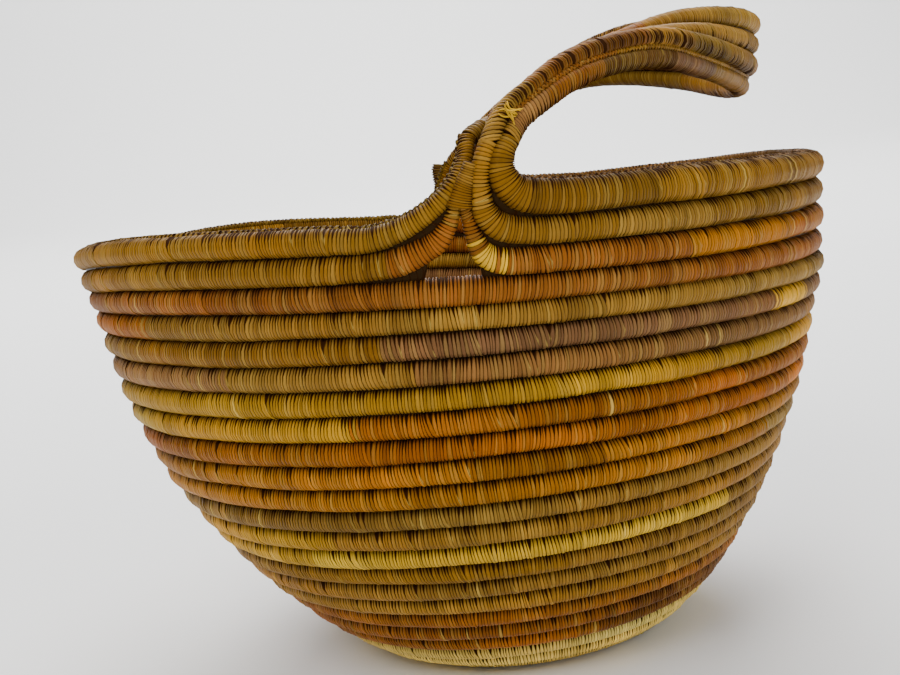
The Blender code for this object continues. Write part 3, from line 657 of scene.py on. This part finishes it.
first_turn = band_turn(band_shares[0][1])
wall_line = coil_line(first_turn, total_turns())
points, dye_and_shade, wraps = wind(wall_line, wall_dyes, seed=11)
points[..., 2] = np.maximum(points[..., 2], 0.0)
travel = travelled(wall_line)
turn_of_ring = np.interp(np.interp(wraps, [0, wraps[-1]], [0, 1]) * travel[-1], travel, wall_line[:, 7])
for name, first_share, last_share in band_shares:
    ends = [band_turn(first_share), total_turns() + 1 if last_share == 1 else band_turn(last_share)]
    low, high = [int(np.searchsorted(turn_of_ring, turn)) // 3 * 3 for turn in ends]
    cut = slice(low, high + 1)
    wrap_solid(name, points[cut], dye_and_shade[cut], wraps[cut])

# The start knot: the tight button of palm at the base's centre, from which the coil winds out.
# It is a low dome of strips that swirl in to its middle, and reaches over the coil's inner end.
knot_ribs = 22
knot_around, knot_rings = 132, 22
knot_spread = 1.7
knot_swirl = 1.6
knot_groove, knot_dimple = 0.06, 0.0004
knot_groove_shade = 0.45
turn = np.linspace(0, 2 * math.pi, knot_around, endpoint=False)[None, :]
fall = np.linspace(0.02, 1, knot_rings)[:, None]
swirl = np.abs(np.sin(knot_ribs / 2 * (turn + knot_swirl * fall)))
radius = knot_spread * start_knot_radius * np.sin(fall * math.pi / 2) * (1 - knot_groove * (1 - swirl) * fall)
height = start_knot_height * np.cos(fall * math.pi / 2) ** 0.8 - knot_dimple * (1 - swirl) * (1 - fall)
end_angle = -2 * math.pi * total_turns()
knot_centre = np.array([base_offset - knot_shift * math.sin(end_angle), knot_shift * math.cos(end_angle)])
across, along = knot_centre[0] + radius * np.cos(turn), knot_centre[1] + radius * np.sin(turn)
knot = np.stack(np.broadcast_arrays(across, along, np.maximum(height, 0.0)), -1)[::-1]
# The grooves between the ribs are darker: painted shade.
shade = knot_groove_shade + (1 - knot_groove_shade) * swirl ** 0.5
shade = np.broadcast_to(shade[::-1, :, None], knot.shape)
wrap_solid("start_knot", knot, shade * np.array(dyes["straw"]), fall[::-1, 0] * 8)

# The rim and the handle: the coil's last three rows are sewn over a fatter bundle. At each
# root they leave the wall, thin down, and run on side by side as the four strands of the
# handle, each wrapped like the rows.
neck_strand_diameter = 0.0066
arch_strand_diameter = 0.0094
neck_fullness = 0.0003
strand_gap = 0.0008
arch_spacing = 0.0110
curve_samples = 60
row_lead_share = 0.2
strand_fullness = 0.0008
near_outer_shares = [(-2.5, 1.48, 0, 0.33), (-1.4, 1.74, 0, 0.6), (-0.36, 2.34, 0, 0.9),
                     (0.34, 2.98, 0.14, 1.1), (0.80, 3.62, 0.60, 1.1), (1.06, 4.25, 1.16, 1.0)]
near_end_shares = [(-2.5, 0.55, 0, 0), (-1.70, 0.66, 0, 0), (-0.92, 0.98, 0, 0.2),
                   (-0.38, 1.38, 0, 0.5), (-0.04, 1.74, 0, 0.9), (0.12, 2.02, 0, 1.2), (0.30, 2.50, 0, 1.3)]
near_stub_shares = [(2.5, 0.51, 0, 0), (1.62, 0.53, 0, 0.1), (1.12, 0.70, 0, 0.3), (0.90, 1.04, 0, 0.6),
                    (0.77, 1.44, 0, 0.9), (0.66, 1.90, 0, 1.2), (0.56, 2.50, 0, 1.3)]
near_middle_shares = [(3.6, 1.52, 0, 0), (2.4, 1.54, 0, 0), (1.60, 1.70, 0, 0), (1.20, 2.10, 0, 0.2),
                      (1.10, 2.75, 0, 0.6), (1.25, 3.5, 0.03, 0.8), (1.58, 4.15, 0.22, 0.9)]
near_inner_shares = [(4.6, 2.50, 0, -0.4), (3.2, 2.50, 0, -0.5), (2.28, 2.66, 0, -0.35), (1.84, 3.18, 0, 0.0),
                     (1.88, 3.7, 0.06, 0.3), (2.24, 4.25, 0.26, 0.8)]
near_core_shares = [(1.18, 2.9, 0.78, 1.0), (1.42, 3.5, 0.84, 1.0), (1.74, 4.15, 0.94, 1.0)]
near_binding_shares = [(0.40, 2.36, 0, 0), (0.60, 2.85, 0, 0.4), (0.79, 3.25, 0, 0.8), (0.94, 3.6, 0, 1.0)]
far_outer_shares = [(-2.6, 1.02, 0, 0), (-1.6, 1.06, 0, 0.1), (-0.70, 1.4, 0, 0.45), (-0.15, 2.05, 0, 0.8),
                    (0.06, 2.75, 0.1, 1.0), (0.34, 3.45, 0.45, 1.0), (0.76, 4.15, 0.90, 1.0)]
far_core_shares = [(3.4, 0.98, 0, 0), (2.3, 1.0, 0, 0.1), (1.45, 1.2, 0, 0.4), (0.96, 1.75, 0, 0.8),
                   (0.88, 2.4, 0.05, 1.0), (1.05, 3.1, 0.28, 1.0), (1.50, 3.95, 0.60, 1.0)]
far_middle_shares = [(4.6, 1.97, 0, 0), (3.5, 2.0, 0, 0.1), (2.65, 2.2, 0, 0.4), (2.12, 2.7, 0, 0.8),
                     (1.98, 3.4, 0, 1.0), (2.20, 4.2, 0, 1.0)]
far_inner_shares = [(5.6, 2.96, 0, 0), (4.5, 3.0, 0, 0.1), (3.70, 3.2, 0, 0.4), (3.27, 3.75, 0.03, 0.8),
                    (3.32, 4.4, 0.12, 1.0)]
arch_shares = [
    ((0.155, -0.975, 0.400), (0.10, -0.97, 0.15), 84, 0.0),
    ((0.215, -0.945, 0.440), (0.04, -0.98, 0.16), 88, 0.0),
    ((0.290, -0.890, 0.480), (0.00, -0.98, 0.16), 88, 0.1),
    ((0.390, -0.800, 0.508), (0.00, -0.99, 0.12), 84, 0.2),
    ((0.540, -0.650, 0.520), (0.00, -0.99, 0.02), 80, 0.4),
    ((0.710, -0.440, 0.484), (0.02, -0.90, -0.40), 70, 0.7),
    ((0.845, -0.200, 0.438), (-0.05, -0.40, -0.91), 50, 0.9),
    ((0.910, 0.020, 0.413), (-0.18, 0.00, -0.99), 18, 1.0),
    ((0.905, 0.250, 0.410), (-0.18, 0.10, -0.98), 12, 1.0),
    ((0.800, 0.520, 0.445), (0.11, 0.20, -0.97), 12, 0.9),
    ((0.667, 0.700, 0.463), (0.26, 0.45, -0.77), 25, 0.6),
    ((0.524, 0.820, 0.462), (0.15, 0.80, -0.37), 45, 0.3),
    ((0.390, 0.890, 0.425), (0.21, 0.93, -0.09), 50, 0.1),
    ((0.272, 0.945, 0.364), (0.42, 0.78, 0.07), 40, 0.0),
]


def root_route(shares, far=False):
    """A root route as place, way out and diameter, on the wall carried on upward."""
    along, above, inward, slim = np.array(shares, float).T
    angle = along * rim_pitch / wall_radius
    if far:
        angle = math.pi - angle
    places = wall_point(angle, -above * rim_pitch, inward * rim_pitch)
    places[:, 2] -= hand_shape(angle, -0.5 - above)[0]
    diameter = rim_coil_diameter + slim * (neck_strand_diameter - rim_coil_diameter)
    return np.column_stack([places, wall_outward(angle, -above * rim_pitch), diameter])


def arch_strands():
    """Stations of the four strands along the arch, side by side, the inner one folded under."""
    places, side, fold, full = [np.array(column, float) for column in zip(*arch_shares)]
    middle = places * wall_radius + np.array([0, 0, root_height])
    fold = np.radians(fold)[:, None]
    ends = root_route(near_middle_shares)[-1:, :3], root_route(far_middle_shares, True)[-1:, :3]
    along = np.gradient(np.vstack([ends[0], middle, ends[1]]), axis=0)[1:-1]
    along /= np.linalg.norm(along, axis=1)[:, None]
    side = side - np.sum(side * along, axis=1)[:, None] * along
    side /= np.linalg.norm(side, axis=1)[:, None]
    outward = np.cross(side, along)
    diameter = neck_strand_diameter + full * (arch_strand_diameter - neck_strand_diameter)
    apart = (diameter + strand_gap)[:, None]
    under = np.cos(fold) * side - np.sin(fold) * outward
    outwards = [outward, outward, outward, np.cross(under, along)]
    strands = [middle - 2 * apart * side, middle - apart * side, middle, middle + apart * under]
    return [np.column_stack([strand, away, diameter]) for strand, away in zip(strands, outwards)]


def smooth_path(stations, spacing):
    """A curve through the stations by cubic Hermite pieces, read at an even spacing."""
    stations = np.asarray(stations, float)
    chord = np.linalg.norm(np.diff(stations[:, :3], axis=0), axis=1)
    knots = np.concatenate([[0], np.cumsum(np.sqrt(chord))])
    slope = np.gradient(stations, knots, axis=0)
    fine = np.linspace(0, knots[-1], curve_samples * len(stations))
    index = np.clip(np.searchsorted(knots, fine) - 1, 0, len(knots) - 2)
    width = (knots[index + 1] - knots[index])[:, None]
    share = (fine - knots[index])[:, None] / width
    curve = (1 + 2 * share) * (1 - share) ** 2 * stations[index]
    curve += share ** 2 * (3 - 2 * share) * stations[index + 1]
    curve += share * (1 - share) ** 2 * width * slope[index]
    curve -= share ** 2 * (1 - share) * width * slope[index + 1]
    travel = travelled(curve)
    even = np.linspace(0, travel[-1], max(3, int(round(travel[-1] / spacing)) + 1))
    return np.stack([np.interp(even, travel, column) for column in curve.T], -1)


def row_station(turn):
    """The rim row's centre, way out and diameter at a turn count."""
    place, outward, swell = row_place(-2 * math.pi * turn, row_length(turn), turn)
    return np.array([[*place, *outward, thickness(turn) + swell]])


def root_turn(root, shares, side):
    """The last of the wall's angles, in turns, before a route starts on one side of its root."""
    reach = abs(shares[0][0]) * rim_pitch / wall_radius / (2 * math.pi)
    return root + side * math.ceil(reach * steps_per_turn + row_lead_share) / steps_per_turn


def from_row(root, shares, side, far=False):
    """Stations that leave a rim row and follow a root route, two of the row's own first."""
    turn = root_turn(root, shares, side)
    rows = [row_station(turn + side / steps_per_turn), row_station(turn)]
    return np.vstack(rows + [root_route(shares, far)])


def split_at(path, place):
    """Cut a path in two at its point nearest to a place."""
    index = int(np.argmin(np.linalg.norm(path[:, :3] - place, axis=1)))
    return path[:index + 1], path[index:]


def strand_pieces(near, arch, far):
    """One strand from the near rim to the far rim, cut where its routes meet the arch."""
    whole = smooth_path(np.vstack([near, arch, far[::-1]]), path_spacing)
    near_piece, rest = split_at(whole, near[-1, :3])
    strand, far_piece = split_at(rest, far[-1, :3])
    return split_at(near_piece, near[1, :3])[1], strand, split_at(far_piece, far[1, :3])[0]


def rim_line(first, turns, last):
    """A rim coil: what leads into its row, the row, and what follows, marked by turns."""
    row = coil_line(*turns)
    around = 2 * math.pi * wall_radius
    pieces = [row]
    if first is not None:
        travel = travelled(first)
        marks = turns[0] - (travel[-1] - travel) / around
        pieces.insert(0, np.column_stack([first, marks])[:-1])
    if last is not None:
        pieces.append(np.column_stack([last, turns[1] + travelled(last) / around])[1:])
    return np.vstack(pieces)


def share_marked(path):
    """A strand marked by the share of its length, from the near root."""
    travel = travelled(path)
    return np.column_stack([path, travel / travel[-1]])


outer, core, middle, inner = arch_strands()
lines = {}
near = from_row(-2.0, near_outer_shares, 1)
far = from_row(-1.5, far_outer_shares, -1, True)
low, strand, high = strand_pieces(near, outer, far)
turns = root_turn(-2.0, near_outer_shares, 1), root_turn(-1.5, far_outer_shares, -1)
lines["left_upper_rim_coil"] = rim_line(low[::-1], turns, high[::-1])
lines["outer_handle_strand"] = share_marked(strand)[::-1]

stub = from_row(-1.0, near_stub_shares, -1)
stub = split_at(smooth_path(stub, path_spacing), stub[1, :3])[1]
far = from_row(-1.5, far_core_shares, 1, True)
whole = smooth_path(np.vstack([root_route(near_core_shares), core, far[::-1]]), path_spacing)
strand, high = split_at(whole, far[-1, :3])
high = split_at(high, far[1, :3])[0]
turns = root_turn(-1.5, far_core_shares, 1), root_turn(-1.0, near_stub_shares, -1)
lines["right_lower_rim_coil"] = rim_line(high, turns, stub)
lines["core_handle_strand"] = share_marked(strand)

for name, root, near_shares, far_shares, strand_name, arch in (
        ("right_middle_rim_coil", -2.0, near_middle_shares, far_middle_shares,
         "middle_handle_strand", middle),
        ("right_upper_rim_coil", -3.0, near_inner_shares, far_inner_shares,
         "inner_handle_strand", inner)):
    near = from_row(root, near_shares, -1)
    far = from_row(root - 0.5, far_shares, 1, True)
    low, strand, high = strand_pieces(near, arch, far)
    turns = root_turn(root - 0.5, far_shares, 1), root_turn(root, near_shares, -1)
    lines[name] = rim_line(high, turns, low)
    lines[strand_name] = share_marked(strand)

tip = from_row(-1.0, near_end_shares, 1)
tip = split_at(smooth_path(tip, path_spacing), tip[1, :3])[1]
lines["left_lower_rim_coil"] = rim_line(tip[::-1], (root_turn(-1.0, near_end_shares, 1), first_turn), None)

# Where each dye begins on these coils: on the rim in turns, on the handle in shares of a strand
# from the near root. The two front strands' strips slant toward the seam between them.
coil_dyes = {
    "left_upper_rim_coil": [(-9.0, "rust orange"), (-2.055, "ochre"), (-1.75, "khaki ochre")],
    "left_lower_rim_coil": [(-9.0, "khaki"), (-1.006, "rust orange"), (-0.976, "khaki ochre"),
                            (-0.78, "ochre"), (-0.62, "rust orange")],
    "right_lower_rim_coil": [(-9.0, "khaki"), (-1.40, "orange"), (-1.155, "amber"), (-1.09, "rust orange"),
                             (-1.016, "pale yellow"), (-1.006, "dark rust")],
    "right_middle_rim_coil": [(-9.0, "khaki"), (-2.32, "khaki ochre"), (-2.1, "khaki"),
                              (-2.06, "khaki ochre")],
    "right_upper_rim_coil": [(-9.0, "dark ochre"), (-3.35, "khaki ochre"), (-3.12, "ochre"),
                             (-2.98, "dark ochre")],
    "outer_handle_strand": [(-1.0, "khaki"), (0.10, "dark rust"), (0.24, "khaki"), (0.40, "ochre"),
                            (0.55, "dark ochre")],
    "core_handle_strand": [(-1.0, "dark rust"), (0.20, "khaki"), (0.42, "ochre"), (0.50, "rust orange")],
    "middle_handle_strand": [(-1.0, "khaki"), (0.055, "dark rust"), (0.20, "dark ochre"), (0.27, "olive"),
                             (0.35, "ochre"), (0.46, "rust orange"), (0.52, "brown")],
    # The inner strand's dark rust, umber and purple brown from 0.05 to 0.33 of its length are painted shade
    # on its underside, under the crest.
    "inner_handle_strand": [(-1.0, "khaki"), (0.01, "brown"), (0.05, "dark rust"), (0.12, "umber"),
                            (0.235, "purple brown"), (0.33, "dark ochre"), (0.66, "olive")],
}
slants = {"middle_handle_strand": 0.45, "inner_handle_strand": -0.45}
for index, (name, line) in enumerate(lines.items()):
    full = strand_fullness if name.endswith("strand") else row_fullness
    thin = np.clip((rim_coil_diameter - line[:, 6]) / (rim_coil_diameter - neck_strand_diameter), 0, 1)
    line[:, 6] += (0 if name in ("left_upper_rim_coil", "outer_handle_strand") else neck_fullness) * thin
    slant = slants.get(name, 0.0)
    wrap_solid(name, *wind(line, coil_dyes[name], seed=40 + index, fullness=full, slant=slant))

# The webs: where coils lie side by side, a near-black web between them closes the wall and the neck.
# Its colour is painted shade in the gaps between coils. They are palm like the wrapping, deep between coils.
web_spacing = 0.003
web_depth = 0.0012
web_reach = 0.008
web_sides = 8
web_shadow_colour = (0.016, 0.006, 0.0015)


def shadow_web(name, path, other):
    """Flat rings from a coil's centre line to its neighbour's, where the two are near.

    Each ring is an ellipse from centre to centre. Where the coils part by more than the reach,
    it shrinks into the first coil.
    """
    gap = other[:, :3] - path[:, :3]
    room = np.linalg.norm(gap, axis=1) - (path[:, 6] + other[:, 6]) / 2
    gap *= np.clip((web_reach - room) / (web_reach / 3), 0.02, 1)[:, None]
    along = np.gradient(path[:, :3], axis=0)
    flat = np.cross(along, gap)
    flat /= np.maximum(np.linalg.norm(flat, axis=1), 1e-9)[:, None]
    turn = 2 * math.pi * np.arange(web_sides) / web_sides
    points = (path[:, :3] + gap / 2)[:, None] + gap[:, None] / 2 * np.sin(turn)[:, None]
    points = points + flat[:, None] * web_depth * np.cos(turn)[:, None]
    # The web is near-black: painted shade in the gaps between coils.
    dye_and_shade = np.broadcast_to(web_shadow_colour, points.shape)
    sew_on(name, "brown_coil", points, dye_and_shade, np.arange(len(points)) * 1.0)


def nearest_web(name, path, other):
    """A web from a coil to the points of another that are nearest to it."""
    path = path[::int(web_spacing / path_spacing)]
    apart = np.sum((path[:, None, :3] - other[None, ::2, :3]) ** 2, axis=2)
    shadow_web(name, path, other[::2][np.argmin(apart, axis=1)])


binding_line = share_marked(smooth_path(root_route(near_binding_shares), path_spacing))
upper_wall = wall_line[wall_line[:, 7] < 1.2]
for name, path, other in (
        ("inner_seam", lines["inner_handle_strand"], lines["middle_handle_strand"]),
        ("middle_seam", lines["middle_handle_strand"], lines["core_handle_strand"]),
        ("outer_seam", lines["outer_handle_strand"], lines["core_handle_strand"]),
        ("upper_right_seam", lines["right_upper_rim_coil"], lines["right_middle_rim_coil"]),
        ("middle_right_seam", lines["right_middle_rim_coil"], lines["right_lower_rim_coil"]),
        ("lower_right_seam", lines["right_lower_rim_coil"], upper_wall),
        ("upper_left_seam", lines["left_upper_rim_coil"], lines["left_lower_rim_coil"]),
        ("lower_left_seam", lines["left_lower_rim_coil"], upper_wall),
        ("binding_right_seam", binding_line, lines["right_middle_rim_coil"]),
        ("binding_left_seam", binding_line, lines["left_upper_rim_coil"])):
    nearest_web(name, path, other)
rows = wall_line[wall_line[:, 7] < total_turns() - 1][::int(web_spacing / path_spacing)]
below = np.minimum(np.searchsorted(wall_line[:, 7], rows[:, 7] + 1), len(wall_line) - 1)
shadow_web("row_seam", rows, wall_line[below])

# The near binding: a wedge of finer strips, wound level round the thin ends that start at the
# near root, between the coil that rises from the left and the one that rises from the right.
binding_root_diameter = 0.0112
binding_tip_diameter = 0.0056
binding_strip_width = 0.0009
path = root_route(near_binding_shares)
slim = np.array(near_binding_shares)[:, 3]
path[:, 6] = binding_root_diameter + slim * (binding_tip_diameter - binding_root_diameter)
path = share_marked(smooth_path(path, path_spacing))
binding_dyes = [(-1.0, "khaki ochre"), (0.5, "khaki")]
wrap_solid("near_binding", *wind(path, binding_dyes, seed=71, width=binding_strip_width, notch=0.0))

# The far nub: the blunt wrapped end of a coil that stands behind the neck, at the far root.
# Only its top and left edge can be seen. It is wrapped in dark brown strips of palm.
far_nub_shares = [(0.30, 1.9, 0, 0.5), (0.16, 2.9, 0, 0.5), (0.14, 3.9, 0, 0.5), (0.15, 4.12, 0, 0.9)]
path = share_marked(smooth_path(root_route(far_nub_shares, True), path_spacing))
sew_on("far_nub", "near_binding", *wind(path, [(-1.0, "umber")], seed=72))

# The far sill: the coil that crosses behind, seen through the near window. It lies on the
# wall's first row at the far root and closes the foot of the far window.
far_sill_shares = [(-1.7, 0.62, 0, 0.9), (-0.9, 1.14, 0, 0), (0.0, 1.40, 0, -0.3), (0.9, 1.14, 0, 0),
                   (1.8, 0.62, 0, 0.9)]
path = share_marked(smooth_path(root_route(far_sill_shares, True), path_spacing))
nearest_web("far_sill_seam", path, upper_wall)
sew_on("far_sill", "right_lower_rim_coil", *wind(path, [(-1.0, "orange")], seed=74))

# The rim's lacing: a fine zigzag of palm along the top of the rim, on its inner side, where the
# last row's strips are sewn off. It is a thin ridge on both halves of the rim.
ridge_width = 0.0034
ridge_strip_width = 0.0013
ridge_zigzag, ridge_notch = 0.6, 0.0003
ridge_lift, ridge_inset = 0.80, 0.55
route_step = 6
ridge_dyes = {"left_upper_rim_coil": "olive", "right_upper_rim_coil": "brown"}
for index, (name, dye_name) in enumerate(ridge_dyes.items()):
    coil = lines[name]
    along = np.gradient(coil[:, :3], axis=0)
    up = np.cross(along, coil[:, 3:6])
    up *= np.sign(up[:, 2:3]) / np.linalg.norm(up, axis=1)[:, None]
    radius = coil[:, 6:7] / 2
    crest = coil[:, :3] + radius * (ridge_lift * up - ridge_inset * coil[:, 3:6])
    path = np.column_stack([crest, coil[:, 3:6], np.full(len(coil), ridge_width)])
    path = share_marked(smooth_path(path[::route_step], path_spacing))
    lacing = wind(path, [(-1.0, dye_name)], seed=75 + index, width=ridge_strip_width, notch=ridge_notch,
                  fullness=0.0, zigzag=ridge_zigzag)
    sew_on(name.replace("coil", "lacing"), name, *lacing)

# The seam's lacing: along the ridge between the two front strands of the handle their strips
# cross in a fine zigzag, from the tie on to the far leg. It is palm, sewn through both strands.
lacing_width = 0.0030
lacing_strip_width = 0.0010
lacing_zigzag = 0.75
lacing_lift, lacing_height = 0.0008, 0.75
lacing_start, lacing_end = 0.035, 0.60
lacing_dyes = [(-1.0, "dark rust"), (0.22, "khaki ochre"), (0.5, "ochre")]
strand = lines["middle_handle_strand"]
other = lines["inner_handle_strand"][:, :3]
strand = strand[int(lacing_start * len(strand)):int(lacing_end * len(strand)):route_step]
nearest = np.array([np.argmin(np.sum((other - place) ** 2, axis=1)) for place in strand[:, :3]])
across = other[nearest] - strand[:, :3]
along = np.gradient(strand[:, :3], axis=0)
away = np.cross(across, along)
away /= np.linalg.norm(away, axis=1)[:, None]
outward = strand[:, 3:6] + lines["inner_handle_strand"][nearest, 3:6]
away *= np.sign(np.sum(away * outward, axis=1))[:, None]
crest = (strand[:, 6] / 2 + lacing_lift) ** 2 - np.sum(across ** 2, axis=1) / 4
rise = np.sqrt(np.maximum(crest, 0)) * lacing_height
path = np.column_stack([strand[:, :3] + across / 2 + away * rise[:, None], away,
                        np.full(len(strand), lacing_width)])
path = share_marked(smooth_path(path[::route_step], path_spacing))
lacing = wind(path, lacing_dyes, seed=73, width=lacing_strip_width, notch=0.0, fullness=0.0,
              zigzag=lacing_zigzag)
sew_on("seam_lacing", "middle_handle_strand", *lacing)

# The neck's tie: thin pale strips of palm crossed over the two front strands of the neck, where
# they are first sewn together. They lie loose from crest to crest, each a little askew.
tie_place = 1.2
tie_strip_width = 0.0008
tie_strip_thickness = 0.0005
tie_strip_samples, tie_strip_sides = 13, 8
tie_start, tie_cross, tie_over = -0.20, 0.62, 0.45
tie_stagger, tie_bow = 0.0014, 0.0022
tie_tone_spread, tie_under_shade = 0.14, 0.7
tie_starts = np.array([-0.0030, -0.0018, -0.0006, 0.0008, 0.0022, 0.0032, 0.0014])
tie_ends = np.array([-0.0008, 0.0012, -0.0022, 0.0026, 0.0004, 0.0016, -0.0030])
middle_line, inner_line = lines["middle_handle_strand"], lines["inner_handle_strand"]
travel = travelled(middle_line)
station = int(np.searchsorted(travel, travel[-1] / round(travel[-1] / arch_spacing) * tie_place))


def lay_strips(origin, across, along, front, apart, radius, starts, ends, seed):
    """Flat strips laid over two strands side by side, each from one strand to the other.

    The cosine of the way out to a strand's side gives the height: level between the strands'
    crests, and falling round their far sides. Each strip is an ellipse carried along that line.
    """
    rng = np.random.default_rng(seed)
    each = (len(starts), 1)
    share = np.linspace(0, 1, tie_strip_samples)[None, :]
    reach = radius * 0.96
    place = tie_start * reach + share * (apart * tie_cross + tie_over * reach)
    place = place + rng.uniform(-tie_stagger, tie_stagger, each)
    off = np.maximum(np.maximum(-place, place - apart), 0) / radius
    height = radius * np.sqrt(np.maximum(1 - off ** 2, 0)) + tie_strip_thickness * (0.4 + rng.random(each))
    slide = starts[:, None] + (ends - starts)[:, None] * share
    slide = slide + rng.uniform(-tie_bow, tie_bow, each) * np.sin(math.pi * share * 1.4)
    centre = (origin[:, None] + place[..., None] * across[:, None] + slide[..., None] * along[:, None]
              + height[..., None] * front[:, None])
    run = np.gradient(centre, axis=1)
    run /= np.linalg.norm(run, axis=2)[..., None]
    flank = np.cross(run, front[:, None])
    flank /= np.linalg.norm(flank, axis=2)[..., None]
    face = np.cross(flank, run)
    angle = 2 * math.pi * np.arange(tie_strip_sides) / tie_strip_sides
    taper = np.sin(math.pi * (0.12 + 0.76 * share))[..., None] ** 0.5 * tie_strip_width / 2
    points = (centre[:, :, None] + (taper * np.cos(angle))[..., None] * -flank[:, :, None]
              + (tie_strip_thickness / 2 * np.sin(angle))[..., None] * face[:, :, None])
    tone = np.exp(rng.normal(0, tie_tone_spread, (len(starts), 1, 1, 1)))
    # Each strip is darker on its underside, toward the strands: painted shade.
    tone = tone * (tie_under_shade + (1 - tie_under_shade) * np.sin(angle))[None, None, :, None]
    dye_and_shade = np.broadcast_to(tone * np.array(dyes["pale yellow"]), points.shape)
    return points, dye_and_shade, np.broadcast_to(np.arange(len(starts))[:, None] * 3.0 + 0.5, centre.shape[:2])


place = middle_line[station, :3]
nearest = inner_line[np.argmin(np.linalg.norm(inner_line[:, :3] - place, axis=1)), :3]
across = nearest - place
apart = float(np.linalg.norm(across))
across /= apart
along = middle_line[station + 8, :3] - middle_line[station - 8, :3]
front = np.cross(across, along)
front /= np.linalg.norm(front)
along = np.cross(front, across)
frames = [np.repeat(vector[None], len(tie_starts), 0) for vector in (place, across, along, front)]
neck_radius = (middle_line[station, 6] + strand_fullness) / 2
strips = lay_strips(*frames, apart, neck_radius, tie_starts, tie_ends, seed=81)
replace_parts(sew_on("neck_tie_strips", "neck_tie", *strips), "neck_tie")
